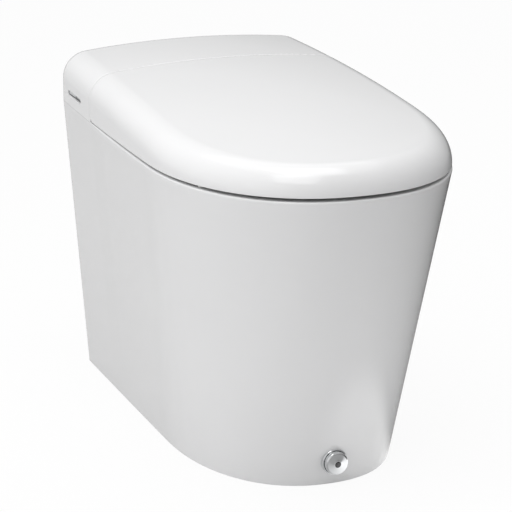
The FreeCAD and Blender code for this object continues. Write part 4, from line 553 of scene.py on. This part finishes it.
def build_surface_group() -> None:
    """Builds the variation every surface has: a drift of colour, uneven gloss and a fine relief."""
    group = new_group(
        "surface_variation",
        ("Colour", "Drift", "Drift Size", "Roughness", "Uneven", "Relief Size", "Dust"),
        ("Colour", "Roughness", "Height"),
    )
    source = group.nodes["in"].outputs
    place = add_node(group, "TexCoord", {}).outputs["Object"]
    broad = cloud(group, place, source["Drift Size"], DRIFT_DETAIL)
    fine = cloud(group, place, source["Relief Size"], RELIEF_DETAIL)
    smears = cloud(group, place, SMEAR_SIZE, SMEAR_DETAIL)
    normal = add_node(group, "NewGeometry", {}).outputs["Normal"]
    up = add_node(group, "SeparateXYZ", {0: normal}).outputs["Z"]
    settled = calculate(group, "MULTIPLY", calculate(group, "MAXIMUM", up, 0.0), source["Dust"])
    shade = calculate(group, "SUBTRACT", sway(group, broad, source["Drift"], 1.0),
                      calculate(group, "MULTIPLY", settled, smears))
    shaded = add_node(group, "VectorMath", {})
    shaded.operation = "SCALE"
    fill(shaded, {0: source["Colour"], "Scale": shade})
    gloss = calculate(group, "ADD", sway(group, smears, source["Uneven"], source["Roughness"]), settled)
    gloss = calculate(group, "MAXIMUM", gloss, LEAST_ROUGHNESS)
    fill(group.nodes["out"], {"Colour": shaded.outputs[0], "Roughness": gloss, "Height": fine})


def build_brushed_group() -> None:
    """Builds fine parallel scratches along x, as on drawn or brushed metal."""
    group = new_group("brushed_lines", ("Line Width", "Roughness", "Uneven"), ("Roughness", "Height"))
    source = group.nodes["in"].outputs
    place = add_node(group, "TexCoord", {}).outputs["Object"]
    stretch = add_node(group, "Mapping", {"Vector": place, "Scale": (LINE_STRETCH, 1.0, 1.0)})
    lines = cloud(group, stretch.outputs[0], source["Line Width"], LINE_DETAIL)
    gloss = sway(group, lines, source["Uneven"], source["Roughness"])
    gloss = calculate(group, "MAXIMUM", gloss, LEAST_BRUSHED_ROUGHNESS)
    fill(group.nodes["out"], {"Roughness": gloss, "Height": lines})


# ---------- finishes
@dataclass(frozen=True)
class Finish:
    """A finish on one shader, with sizes in millimetres.

    The colour is linear, and the relief is the depth of the fine bumps.
    """

    name: str
    colour: Triple
    roughness: float
    metallic: float = 0.0
    coat: float = 0.0
    ior: float = 1.5
    drift: float = 0.03
    drift_size: float = 120.0
    uneven: float = 0.04
    relief: float = 0.0
    relief_size: float = 2.0
    dust: float = 0.0
    subsurface: float = 0.0

    def texture(self, tree: Tree) -> tuple[Socket, Socket, Socket]:
        """Adds the shared surface variation with this finish's own values.

        Args:
            tree: The material's node tree.

        Returns:
            The colour, the roughness and the height of the relief.
        """
        node = add_node(tree, "Group", {})
        node.node_tree = bpy.data.node_groups["surface_variation"]
        fill(node, {
            "Colour": (*self.colour, 1.0), "Drift": self.drift, "Drift Size": self.drift_size,
            "Roughness": self.roughness, "Uneven": self.uneven, "Relief Size": self.relief_size,
            "Dust": self.dust,
        })
        return node.outputs["Colour"], node.outputs["Roughness"], node.outputs["Height"]

    def make(self) -> bpy.types.Material:
        """Builds the material.

        Returns:
            The material, with its shader and its textures.
        """
        material = bpy.data.materials.new(self.name)
        material.use_nodes = True
        material.diffuse_color = (*self.colour, 1.0)
        tree = material.node_tree
        colour, roughness, height = self.texture(tree)
        shader = fill(tree.nodes["Principled BSDF"], {
            "Base Color": colour, "Roughness": roughness, "Metallic": self.metallic, "IOR": self.ior,
            "Coat Weight": self.coat, "Coat Roughness": COAT_ROUGHNESS,
            "Subsurface Weight": self.subsurface, "Subsurface Scale": SUBSURFACE_SCALE,
        })
        if self.relief > 0.0:
            bump = add_node(tree, "Bump", {"Distance": self.relief * MM, "Height": height})
            fill(shader, {"Normal": bump.outputs[0]})
        return material


@dataclass(frozen=True)
class Brushed(Finish):
    """A metal with fine drawn lines."""

    line: float = 0.25

    def texture(self, tree: Tree) -> tuple[Socket, Socket, Socket]:
        """Adds the surface variation with drawn lines over it.

        Args:
            tree: The material's node tree.

        Returns:
            The colour, the roughness and the height of the lines.
        """
        colour, roughness, _ = super().texture(tree)
        node = add_node(tree, "Group", {})
        node.node_tree = bpy.data.node_groups["brushed_lines"]
        fill(node, {"Line Width": self.line, "Uneven": self.uneven, "Roughness": roughness})
        return colour, node.outputs["Roughness"], node.outputs["Height"]


class Look(Enum):
    """The finishes of this toilet."""

    CHINA = Finish("glazed_china", (0.80, 0.80, 0.805), 0.07, coat=0.6, ior=1.52, drift=0.02,
                   drift_size=180.0, uneven=0.03, relief=0.05, relief_size=26.0)
    SHELL = Finish("gloss_white_plastic", (0.81, 0.81, 0.815), 0.12, coat=0.4, drift=0.015, uneven=0.05,
                   relief=0.006, relief_size=1.2)
    SEAT = Finish("seat_white_plastic", (0.79, 0.79, 0.785), 0.16, coat=0.2, drift=0.02, uneven=0.06,
                  relief=0.006, relief_size=1.0, subsurface=0.05)
    INNER = Finish("satin_white_plastic", (0.74, 0.74, 0.735), 0.34, uneven=0.1, relief=0.02, relief_size=0.7)
    DARK = Finish("dark_moulded_plastic", (0.035, 0.036, 0.038), 0.42, drift=0.2, uneven=0.12, relief=0.03,
                  relief_size=0.6, dust=0.06)
    STEEL = Brushed("zinc_plated_steel", (0.56, 0.57, 0.58), 0.3, metallic=1.0, drift=0.1, drift_size=30.0,
                    uneven=0.2, relief=0.01)
    WAND = Brushed("polished_wand_steel", (0.68, 0.69, 0.70), 0.14, metallic=1.0, drift=0.04, uneven=0.1,
                   relief=0.003)
    CHROME = Finish("chrome_plate", (0.74, 0.75, 0.76), 0.05, metallic=1.0, drift=0.05, drift_size=20.0,
                    uneven=0.06, relief=0.002, relief_size=3.0)
    KEY_LIGHT = Finish("light_key_cap", (0.60, 0.61, 0.62), 0.3, drift=0.04, uneven=0.08, relief=0.01,
                       relief_size=0.6)
    KEY_DARK = Finish("dark_key_cap", (0.34, 0.345, 0.35), 0.28, drift=0.06, uneven=0.08, relief=0.01,
                      relief_size=0.6)
    KEY_FRAME = Finish("grey_key_frame", (0.24, 0.245, 0.25), 0.35, drift=0.08, uneven=0.1, relief=0.02,
                       relief_size=0.6)
    BRASS = Brushed("turned_brass", (0.60, 0.43, 0.19), 0.24, metallic=1.0, drift=0.12, drift_size=18.0,
                    uneven=0.15, relief=0.01)
    RUBBER = Finish("black_rubber", (0.02, 0.02, 0.021), 0.62, drift=0.25, uneven=0.15, relief=0.05,
                    relief_size=0.8, dust=0.08)
    PAD = Finish("soft_grey_pad", (0.55, 0.55, 0.54), 0.55, drift=0.05, uneven=0.12, relief=0.03,
                 relief_size=0.5)
    FILM = Brushed("heater_foil", (0.66, 0.52, 0.36), 0.32, metallic=0.8, drift=0.1, uneven=0.2, relief=0.02)
    FILTER = Finish("carbon_filter", (0.03, 0.03, 0.03), 0.8, drift=0.4, drift_size=3.0, relief=0.3,
                    relief_size=1.5)
    BOARD = Finish("solder_masked_board", (0.02, 0.14, 0.06), 0.35, drift=0.2, drift_size=6.0, uneven=0.2,
                   relief=0.03, relief_size=1.2)
    LENS = Finish("smoked_lens", (0.03, 0.03, 0.032), 0.05, coat=1.0, drift=0.05)
    GLOW = Finish("frosted_light_window", (0.78, 0.79, 0.80), 0.4, subsurface=0.3, relief=0.02,
                  relief_size=0.4)


# Which finish each carried-over node has.
NODE_LOOKS: dict[Look, tuple[str, ...]] = {
    Look.CHINA: ("ceramic_body",),
    Look.SHELL: ("rear_cover", "lid_shell"),
    Look.SEAT: ("lid_liner", "seat_upper", "seat_lower"),
    Look.INNER: ("unit_base", "nozzle_cowl", "dryer_flap", "hinge_housing", "nozzle_guide", "heater_tank",
                 "flush_valve", "dryer_duct", "dryer_fan_housing", "deodoriser_housing"),
    Look.DARK: ("power_supply", "foot_switch", "dryer_impeller", "deodoriser_fan", "nozzle_motor",
                "dryer_motor", "nozzle_rack", "nozzle_pinion", "lid_damper", "seat_damper"),
    Look.STEEL: ("lid_shaft", "seat_shaft", "anchor_bolts", "foot_spring"),
    Look.WAND: ("nozzle_tip", "nozzle_wand"),
    Look.CHROME: ("foot_bezel", "foot_button"),
    Look.KEY_FRAME: ("key_frame",),
    Look.KEY_LIGHT: ("rear_key",),
    Look.KEY_DARK: ("front_key",),
    Look.BRASS: ("inlet_valve", "jet_nozzle"),
    Look.RUBBER: ("jet_hose", "wand_hose", "outlet_seal"),
    Look.PAD: ("lid_bumpers", "seat_bumpers"),
    Look.FILM: ("seat_heater",),
    Look.FILTER: ("deodoriser_filter",),
    Look.BOARD: ("control_board",),
    Look.LENS: ("foot_lens",),
    Look.GLOW: ("night_light",),
}


class Wardrobe:
    """Builds each finish once and puts it on pieces."""

    def __init__(self) -> None:
        """Builds the shared groups and every material."""
        build_surface_group()
        build_brushed_group()
        self.materials = {look: look.value.make() for look in Look}

    def dress(self, obj: Object, look: Look) -> None:
        """Gives an object one finish all over."""
        obj.data.materials.clear()
        obj.data.materials.append(self.materials[look])

    def dress_nodes(self, nodes: dict[str, Object]) -> None:
        """Gives every carried-over node its finish.

        Args:
            nodes: The frame's nodes by name.
        """
        for look, names in NODE_LOOKS.items():
            for name in names:
                for slot in nodes[name].material_slots:
                    slot.material = self.materials[look]
                if not nodes[name].material_slots:
                    self.dress(nodes[name], look)


# ---------- china
@dataclass
class China:
    """The glazed pan: skirt, rim, deck and bowl, in millimetres.

    The stops of its skin are the foot, both ends of the rim's rounding, both ends of the bowl's rounding and
    the middle of the sump. A way through it has a half width, two depths, two heights and a rounding. A bore
    has a radius, a length to the front and a start.
    """

    rim_z: float = 410.0
    rim_round: float = 3.0
    rim_round_back: float = 0.1
    cover_inset: float = 0.93
    seam_blend: float = 60.0
    wall: float = 13.0
    edge: float = 1.5
    bowl_round: float = 5.0
    bowl_depths: Row = (478.0, 477.0, 470.0, 459.0, 445.0, 438.0)
    bowl_heights: Row = (405.0, 384.0, 310.0, 225.0, 155.0, 108.0)
    bowl_half_widths: Row = (135.0, 134.0, 116.0, 83.0, 50.0, 34.0)
    bowl_half_lengths: Row = (162.0, 161.0, 141.0, 101.0, 62.0, 42.0)
    bowl_end: float = 0.98
    sump_share: float = 0.9
    sump_drop: float = 6.0
    cowl_notch: tuple = (83.0, (254.0, 343.4), (350.0, 430.0), 4.0)
    service_opening: tuple = (138.0, (32.0, 284.0), (380.0, 430.0), 12.0)
    back_door: tuple = (95.0, (-20.0, 30.0), (-40.0, 235.0), 18.0)
    button_bore: tuple = (16.6, 60.0, (0.0, 555.0, 35.0))
    jet_bore: tuple = (11.0, 80.0, (70.0, 300.0, 330.0))
    grid: tuple[int, int] = (150, 110)
    stops: Pairs = (
        (0.0, 0.0), (0.38, 1.0), (0.44, 2.0), (0.52, 3.0), (0.58, 4.0), (1.0, 5.0),
    )

    def bowl_level(self, share: float) -> Row:
        """A level of the bowl, on a smooth curve through its rows.

        Args:
            share: The share from the rim to the sump.

        Returns:
            The depth, the height, the half width and the half length.
        """
        last = len(self.bowl_depths) - 1
        index = min(int(share * last), last - 1)
        f = share * last - index
        level = []
        for row in (self.bowl_depths, self.bowl_heights, self.bowl_half_widths, self.bowl_half_lengths):
            a, b, c, d = row[max(index - 1, 0)], row[index], row[index + 1], row[min(index + 2, last)]
            bend, twist = 2 * a - 5 * b + 4 * c - d, 3 * b - a - 3 * c + d
            level.append(0.5 * (2 * b + (c - a) * f + bend * f * f + twist * f ** 3))
        return tuple(level)

    def skin(self, u: float, v: float) -> Vector:
        """The china's skin, from its foot over the rim and the deck down into the bowl.

        Args:
            u: The share of the way round the outline.
            v: The share from the foot to the sump.

        Returns:
            The point, in metres.
        """
        t = spread(u, OUTLINE_STOPS)
        base, rim, inward = BASE.at(t), RIM.at(t), RIM.inward(t)
        ahead = min(max((rim.y - TOP.seam) / self.seam_blend, 0.0), 1.0)
        r = self.rim_round_back + (self.rim_round - self.rim_round_back) * ahead
        rim = rim + inward * (self.cover_inset * (1.0 - ahead))
        stage = spread(v, self.stops)
        if stage <= 1.0:
            z = (self.rim_z - r) * stage
            flat = base.lerp(rim, z / self.rim_z)
            return point(flat.x, flat.y, z)
        if stage <= 2.0:
            a = (stage - 1.0) * math.pi / 2.0
            z = self.rim_z - r + r * math.sin(a)
            flat = base.lerp(rim, z / self.rim_z) + inward * (r * (1.0 - math.cos(a)))
            return point(min(flat.x, 0.0), flat.y, z)
        depth, _, half_width, half_length = self.bowl_level(0.0)
        lip = around_ellipse(depth, half_width + self.bowl_round, half_length + self.bowl_round, rim)
        if stage <= 3.0:
            flat = (rim + inward * r).lerp(lip, stage - 2.0)
            return point(min(flat.x, 0.0), flat.y, self.rim_z)
        if stage <= 4.0:
            a = (stage - 3.0) * math.pi / 2.0
            grow = self.bowl_round * (1.0 - math.sin(a))
            flat = around_ellipse(depth, half_width + grow, half_length + grow, rim)
            return point(flat.x, flat.y, self.rim_z - self.bowl_round * (1.0 - math.cos(a)))
        share = stage - 4.0
        depth, z, half_width, half_length = self.bowl_level(self.bowl_end * min(share / self.sump_share, 1.0))
        flat = around_ellipse(depth, half_width, half_length, rim)
        if share > self.sump_share:
            inner = (share - self.sump_share) / (1.0 - self.sump_share)
            flat = flat.lerp(Vector((0.0, depth)), inner)
            z -= self.sump_drop * math.sin(inner * math.pi / 2.0)
        return point(flat.x, flat.y, z)

    def cutters(self) -> list[Mesh]:
        """The ways and the bores through the china.

        Returns:
            The shapes to cut out.
        """
        ways = (self.cowl_notch, self.service_opening, self.back_door)
        shapes = [
            rounded_box(point(-half, front, low), point(half, back, high), rounding)
            for half, (back, front), (low, high), rounding in ways
        ]
        for radius, length, start in (self.button_bore, self.jet_bore):
            shapes.append(rod(radius, length, point(*start), FORWARD))
        return shapes

    def build(self, wardrobe: Wardrobe) -> None:
        """Makes the china and hides the node that it stands for.

        Args:
            wardrobe: The finishes.
        """
        obj = finish_mesh(mapped_grid(*self.grid, self.skin), "glazed_pan")
        add_wall(obj, self.wall, self.edge)
        subtract(obj, self.cutters())
        wardrobe.dress(obj, Look.CHINA)
        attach(obj, "toilet")
        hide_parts("ceramic_body")
        LOG.info("glazed pan: %d faces", len(obj.data.polygons))


# ---------- lid
@dataclass
class Lid:
    """The lid's outer skin with the two ears it turns on, in millimetres.

    The heel is the lid's lower back corner, rounded about the hinge. An ear reaches from its arc under the
    shaft up to its two top corners, close under the crown.
    """

    rim_z: float = 410.0
    gap_back: float = 1.6
    gap_front: float = 5.0
    hinge: Pair = (200.0, 464.0)
    heel_clear: float = 0.4
    heel_share: float = 0.9
    skin: float = 3.2
    edge: float = 1.2
    ear_from: float = 123.9
    ear_to: float = 137.9
    ear_radius: float = 10.0
    ear_steps: int = 14
    ear_tops: Pair = (-14.0, 26.0)
    ear_sink: float = 2.4
    ear_round: float = 0.6
    ear_segments: int = 2
    shaft_bore: float = 5.05
    bore_reach: float = 150.0
    bore_steps: int = 48

    def foot(self, depth: float) -> float:
        """The height of the lid's lower edge, which rises to the front and is rounded at the back.

        Args:
            depth: The distance from the back.

        Returns:
            The height over the floor.
        """
        climb = (self.gap_front - self.gap_back) * (depth - TOP.seam) / (RIM.length - TOP.seam)
        hinge_depth, hinge_z = self.hinge
        reach = hinge_z - self.rim_z - self.heel_clear
        behind = min(max(hinge_depth - depth, 0.0), reach * self.heel_share)
        return max(self.rim_z + self.gap_back + climb, hinge_z - math.sqrt(reach ** 2 - behind ** 2))

    def ears(self) -> Mesh:
        """The two arms that carry the lid on its shaft.

        Returns:
            The mesh of both.
        """
        depth, z = self.hinge
        turns = [math.pi * step / self.ear_steps for step in range(self.ear_steps + 1)]
        outline = [(depth + self.ear_radius * math.cos(a), z - self.ear_radius * math.sin(a)) for a in turns]
        middle = (self.ear_from + self.ear_to) / 2.0
        for along in self.ear_tops:
            outline.append((depth + along, TOP.height(middle, depth + along) - self.ear_sink))
        bm = bmesh.new()
        for low, high in ((-self.ear_to, -self.ear_from), (self.ear_from, self.ear_to)):
            face = bm.faces.new([bm.verts.new(point(low, d, h)) for d, h in outline])
            grown = bmesh.ops.extrude_face_region(bm, geom=[face])["geom"]
            moved = [item for item in grown if isinstance(item, bmesh.types.BMVert)]
            bmesh.ops.translate(bm, vec=ACROSS * ((high - low) * MM), verts=moved)
        bmesh.ops.recalc_face_normals(bm, faces=bm.faces)
        round_edges(bm, self.ear_round, self.ear_segments)
        return bm

    def build(self, wardrobe: Wardrobe) -> None:
        """Makes the lid's skin and ears and hides the node that they stand for.

        Args:
            wardrobe: The finishes.
        """
        bm = mapped_grid(*TOP.grid, TOP.place(self.foot))
        cut_across(bm, TOP.seam + TOP.gap, keep_front=True)
        obj = finish_mesh(bm, "lid_skin")
        add_wall(obj, self.skin, self.edge)
        wardrobe.dress(obj, Look.SHELL)
        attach(obj, "lid")
        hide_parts("lid_shell")
        depth, z = self.hinge
        ears = finish_mesh(self.ears(), "lid_ears")
        start = point(-self.bore_reach, depth, z)
        subtract(ears, [rod(self.shaft_bore, 2.0 * self.bore_reach, start, ACROSS, self.bore_steps)], SHARP)
        wardrobe.dress(ears, Look.SHELL)
        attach(ears, "lid")
        LOG.info("lid: %d faces, ears: %d faces", len(obj.data.polygons), len(ears.data.polygons))


# ---------- rear cover
@dataclass
class RearCover:
    """The cover over the works, behind the seam, in millimetres.

    The slot for the keys has two depths and two heights. A way through the front wall, for the base's wings
    or for the wand, has a middle, a half width and a top.
    """

    foot: float = 408.6
    skin: float = 3.2
    edge: float = 1.2
    key_slot: Row = (62.5, 130.5, 424.4, 430.8)
    slot_reach: Pair = (-230.0, -160.0)
    slot_round: float = 3.0
    slot_segments: int = 5
    hinge: Pair = (200.0, 464.0)
    hinge_clear: float = 0.3
    wall_edge: float = 0.2
    wall_grid: tuple[int, int] = (90, 40)
    wall_stops: Pairs = ((0.0, 0.0), (0.7, 1.0), (1.0, 2.0))
    wall_crowding: float = 1.6
    wing: Triple = (0.0, 138.0, 413.3)
    arch: Triple = (-10.0, 16.0, 440.0)
    way_depths: Pair = (150.0, 192.0)
    way_foot: float = 400.0
    way_round: float = 1.0

    def seam_height(self, x: float) -> float:
        """The height of the outer skin at the seam, a ball rolled round the shoulder.

        Args:
            x: The distance from the middle.

        Returns:
            The height over the floor.
        """
        start = TOP_EDGE.side_x(TOP.seam) - TOP.rounding
        normal = TOP.rise(Vector((start, TOP.seam)))
        beyond = abs(x) - start
        if beyond < TOP.rounding * normal.x / normal.length:
            return TOP.height(x, TOP.seam)
        centre = TOP.height(start, TOP.seam) - TOP.rounding * normal.length
        return centre + math.sqrt(max(TOP.rounding ** 2 - beyond ** 2, 0.0))

    def cove(self, u: float, v: float) -> Vector:
        """The cover's front wall: hollow round the hinge line, then straight down to the deck.

        Args:
            u: The share from the side to the middle.
            v: The share from the top to the foot.

        Returns:
            The point, in metres.
        """
        x = -(TOP_EDGE.side_x(TOP.seam) - self.skin / 2.0) * (1.0 - (1.0 - u) ** self.wall_crowding)
        depth, z = self.hinge
        reach = depth - TOP.seam + self.hinge_clear
        top = self.seam_height(x) - self.skin / 2.0
        start = math.atan2(reach, max(top - z, 0.0))
        radius = reach / math.sin(start)
        stage = spread(v, self.wall_stops)
        turn = start + (math.pi - 2.0 * start) * min(stage, 1.0)
        height = min(z + radius * math.cos(turn), top)
        if stage > 1.0:
            height += (self.foot - height) * (stage - 1.0)
        return point(x, depth - radius * math.sin(turn), height)

    def front_wall(self, wardrobe: Wardrobe) -> None:
        """Makes the wall that closes the works towards the lid.

        Args:
            wardrobe: The finishes.
        """
        bm = mapped_grid(*self.wall_grid, self.cove)
        if sum(face.normal.y for face in bm.faces) > 0.0:
            bmesh.ops.reverse_faces(bm, faces=bm.faces)
        obj = finish_mesh(bm, "cover_front")
        add_wall(obj, self.skin, self.wall_edge)
        back, front = self.way_depths
        ways = []
        for middle, half, top in (self.wing, self.arch):
            low, high = point(middle - half, front, self.way_foot), point(middle + half, back, top)
            ways.append(rounded_box(low, high, self.way_round))
        subtract(obj, ways)
        wardrobe.dress(obj, Look.SHELL)
        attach(obj, "toilet")
        LOG.info("rear cover front: %d faces", len(obj.data.polygons))

    def build(self, wardrobe: Wardrobe) -> None:
        """Makes the cover's skin with its key slot, and hides the node that it stands for.

        Args:
            wardrobe: The finishes.
        """
        bm = mapped_grid(*TOP.grid, TOP.place(lambda depth: self.foot))
        cut_across(bm, TOP.seam, keep_front=False)
        obj = finish_mesh(bm, "cover_skin")
        add_wall(obj, self.skin, self.edge)
        back, front, low, high = self.key_slot
        outer, inner = self.slot_reach
        corners = point(outer, front, low), point(inner, back, high)
        subtract(obj, [rounded_box(*corners, self.slot_round, self.slot_segments)])
        wardrobe.dress(obj, Look.SHELL)
        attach(obj, "toilet")
        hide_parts("rear_cover")
        LOG.info("rear cover skin: %d faces", len(obj.data.polygons))
        self.front_wall(wardrobe)


# ---------- foot button
@dataclass
class FootButton:
    """The flush button low in the skirt's nose, with its ring and its window, in millimetres.

    Each profile is pairs of radius and depth.
    """

    height: float = 35.0
    steps: int = 96
    sharp: float = 30.0
    ring: Pairs = (
        (15.75, 569.0), (16.3, 569.0), (16.3, 586.0), (17.6, 586.0), (17.6, 598.6), (17.45, 599.3),
        (16.95, 599.8), (16.3, 599.9), (15.9, 599.7), (15.75, 599.3), (15.75, 569.0),
    )
    drum: Pairs = (
        (0.0, 556.0), (5.9, 556.0), (5.9, 598.0), (14.4, 598.0), (14.4, 590.0), (15.4, 590.0), (15.4, 605.3),
        (15.3, 605.7), (13.6, 607.4), (13.25, 607.5), (12.9, 607.5), (4.45, 609.1), (4.2, 609.0),
        (4.15, 608.8), (4.15, 606.6), (0.0, 606.6),
    )
    window: Pairs = (
        (0.0, 606.7), (4.1, 606.7), (4.1, 608.9), (3.9, 609.1), (3.5, 609.2), (0.0, 609.25),
    )

    def build(self, wardrobe: Wardrobe) -> None:
        """Makes the ring, the drum and the window, and hides the nodes that they stand for.

        Args:
            wardrobe: The finishes.
        """
        pieces = (
            ("button_ring", self.ring, Look.CHROME, "toilet", "chrome", "foot_bezel"),
            ("button_drum", self.drum, Look.CHROME, "foot_button", "chrome", "foot_button"),
            ("button_window", self.window, Look.LENS, "foot_button", "window", "foot_lens"),
        )
        for name, profile, look, body, slot, node in pieces:
            bm = turned(profile, point(0.0, 0.0, self.height), FORWARD, self.steps)
            obj = finish_mesh(bm, name, self.sharp)
            wardrobe.dress(obj, look)
            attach(obj, body)
            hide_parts(node)
            LOG.info("%s: %d faces", name, len(obj.data.polygons))


# ---------- studio
def add_to_scene(name: str, data: bpy.types.ID, place: Triple, aim: Triple) -> Object:
    """Puts a lamp or a camera at a place, looking at another.

    Args:
        name: The object's name.
        data: The lamp or the camera.
        place: Where it stands, in metres.
        aim: What it looks at, in metres.

    Returns:
        The linked object.
    """
    obj = bpy.data.objects.new(name, data)
    obj.location = place
    obj.rotation_mode = "QUATERNION"
    obj.rotation_quaternion = (Vector(aim) - Vector(place)).to_track_quat("-Z", "Y")
    bpy.context.scene.collection.objects.link(obj)
    return obj


def add_sight(tree: Tree) -> tuple[Node, Socket]:
    """Adds a Light Path node and a value that is 1 for the camera, also through clear pieces."""
    ray = add_node(tree, "LightPath", {})
    return ray, calculate(tree, "MAXIMUM", ray.outputs["Is Camera Ray"], ray.outputs["Is Transmission Ray"])


@dataclass(frozen=True)
class Softbox:
    """A soft square lamp that looks at a place, in metres and watts."""

    name: str
    place: Triple
    size: float
    power: float
    aim: Triple = (0.0, 0.0, 0.3)
    mirrored: bool = True

    def build(self) -> None:
        """Adds the lamp."""
        data = bpy.data.lights.new(self.name, "AREA")
        data.shape = "SQUARE"
        data.size = self.size
        data.energy = self.power
        add_to_scene(self.name, data, self.place, self.aim).visible_glossy = self.mirrored


@dataclass
class Studio:
    """The camera, the lamps, the world and the floor, in metres.

    Each side of the world is an axis, the way along it and a strength. Seen only in reflections, the floor
    glows with a painted reflection that falls off from left to right and has a painted bright spot in front
    of the toilet.
    """

    camera_place: Triple = (-1.13437, -2.87945, 1.17451)
    camera_target: Triple = (-0.00346, 0.01772, 0.23751)
    lens: float = 166.3
    sensor: float = 36.0
    far: float = 60.0
    world_base: float = 0.06
    world_sides: tuple[tuple[str, float, float], ...] = (
        ("X", -1.0, 0.88), ("Z", 1.0, 0.60), ("Y", 1.0, 0.29),
    )
    floor_radius: float = 6.0
    floor_faces: int = 96
    floor_grey: float = 0.86
    floor_roughness: float = 0.6
    floor_specular: float = 0.2
    floor_seen: float = 0.93
    floor_ends: Pair = (-0.3, 0.9)
    # Painted reflection: how brightly the floor glows in reflections at its left and right ends, lit by no
    # lamp.
    painted_reflection_left: float = 0.56
    painted_reflection_right: float = 0.05
    # Painted bright spot on the floor, seen only in reflections on the glaze and the chrome.
    painted_reflection_spot_place: Triple = (0.12, -0.28, 0.0)
    painted_reflection_spot_edges: Pair = (0.06, 0.16)
    painted_reflection_spot_strength: float = 1.0
    softboxes: tuple[Softbox, ...] = (
        Softbox("key", (-0.9, -1.4, 2.9), 1.6, 13.3),
        Softbox("overhead", (0.0, -0.2, 2.8), 1.4, 10.8),
        Softbox("wide_overhead", (0.0, 0.3, 2.8), 2.8, 14.2),
        Softbox("bounce", (0.16, -0.5, 0.02), 0.22, 0.13, (0.04, -0.2, 0.02), mirrored=False),
    )

    def camera(self) -> None:
        """Puts the camera at the photograph's viewing angle."""
        data = bpy.data.cameras.new("camera")
        data.lens = self.lens
        data.sensor_width = self.sensor
        data.clip_end = self.far
        bpy.context.scene.camera = add_to_scene("camera", data, self.camera_place, self.camera_target)

    def world(self) -> None:
        """A soft surround, brighter on the left and overhead, seen as white paper."""
        world = bpy.data.worlds.new("surround")
        bpy.context.scene.world = world
        world.use_nodes = True
        tree = world.node_tree
        place = add_node(tree, "TexCoord", {}).outputs["Generated"]
        way = add_node(tree, "SeparateXYZ", {0: place}).outputs
        light: float | Socket = self.world_base
        for axis, sign, strength in self.world_sides:
            side = calculate(tree, "MAXIMUM", calculate(tree, "MULTIPLY", way[axis], sign), 0.0)
            light = calculate(tree, "MULTIPLY_ADD", side, strength, light)
        _, seen = add_sight(tree)
        away = calculate(tree, "MULTIPLY", calculate(tree, "SUBTRACT", 1.0, seen), light)
        strength = calculate(tree, "ADD", seen, away)
        fill(tree.nodes["Background"], {"Color": (1.0, 1.0, 1.0, 1.0), "Strength": strength})

    def painted_floor_reflection(self, tree: Tree) -> Socket:
        """Adds the painted reflection: the floor's glow as seen only in reflections, falling off from left to
        right, with a painted bright spot.

        Args:
            tree: The floor's node tree.

        Returns:
            The strength.
        """
        place = add_node(tree, "TexCoord", {}).outputs["Object"]
        left, right = self.floor_ends
        # Painted reflection, falling off from left to right, seen only in reflections.
        painted_falloff = add_node(tree, "MapRange", {
            "Value": add_node(tree, "SeparateXYZ", {0: place}).outputs["X"], "From Min": left,
            "From Max": right, "To Min": self.painted_reflection_left, "To Max": self.painted_reflection_right,
        })
        apart = add_node(tree, "VectorMath", {0: place, 1: self.painted_reflection_spot_place})
        apart.operation = "DISTANCE"
        inner, outer = self.painted_reflection_spot_edges
        # Painted bright spot in the floor's reflection, fading out smoothly from its middle.
        spot = add_node(tree, "MapRange", {
            "Value": apart.outputs["Value"], "From Min": inner, "From Max": outer,
            "To Min": self.painted_reflection_spot_strength, "To Max": 0.0,
        })
        spot.interpolation_type = "SMOOTHSTEP"
        return calculate(tree, "ADD", painted_falloff.outputs[0], spot.outputs[0])

    def floor(self) -> None:
        """A white floor that keeps only the toilet's shadow close round its foot; in reflections it shows a
        painted glow instead.
        """
        bm = bmesh.new()
        bmesh.ops.create_circle(bm, cap_ends=True, segments=self.floor_faces, radius=self.floor_radius)
        floor = finish_mesh(bm, "floor")
        material = bpy.data.materials.new("white_floor")
        material.use_nodes = True
        tree = material.node_tree
        shader = fill(tree.nodes["Principled BSDF"], {
            "Base Color": (self.floor_grey, self.floor_grey, self.floor_grey, 1.0),
            "Roughness": self.floor_roughness, "Specular IOR Level": self.floor_specular,
        })
        rays, seen = add_sight(tree)
        direct = calculate(tree, "MULTIPLY", seen, self.floor_seen)
        share = calculate(tree, "MAXIMUM", direct, rays.outputs["Is Glossy Ray"])
        unseen = calculate(tree, "SUBTRACT", 1.0, seen)
        # Glossy rays see the floor glow with the painted reflection; the camera sees plain white.
        strength = calculate(tree, "MULTIPLY_ADD", unseen, self.painted_floor_reflection(tree), seen)
        paper = add_node(tree, "Emission", {"Strength": strength})
        mix = add_node(tree, "MixShader", {"Fac": share, 1: shader.outputs[0], 2: paper.outputs[0]})
        fill(tree.nodes["Material Output"], {"Surface": mix.outputs[0]})
        floor.data.materials.append(material)

    def build(self) -> None:
        """Builds the whole studio."""
        self.camera()
        self.world()
        self.floor()
        for softbox in self.softboxes:
            softbox.build()
        bpy.context.scene.view_settings.view_transform = "Standard"
        LOG.info("studio: camera, world, floor and lamps")


def main() -> None:
    """Loads the frame, builds each part of the toilet round it and sets up the studio."""
    logging.basicConfig(level=logging.INFO, format="%(name)s: %(message)s")
    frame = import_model()
    wardrobe = Wardrobe()
    wardrobe.dress_nodes(frame["nodes"])
    for part in (China(), Lid(), RearCover(), FootButton()):
        part.build(wardrobe)
    Studio().build()


if __name__ == "__main__":
    main()
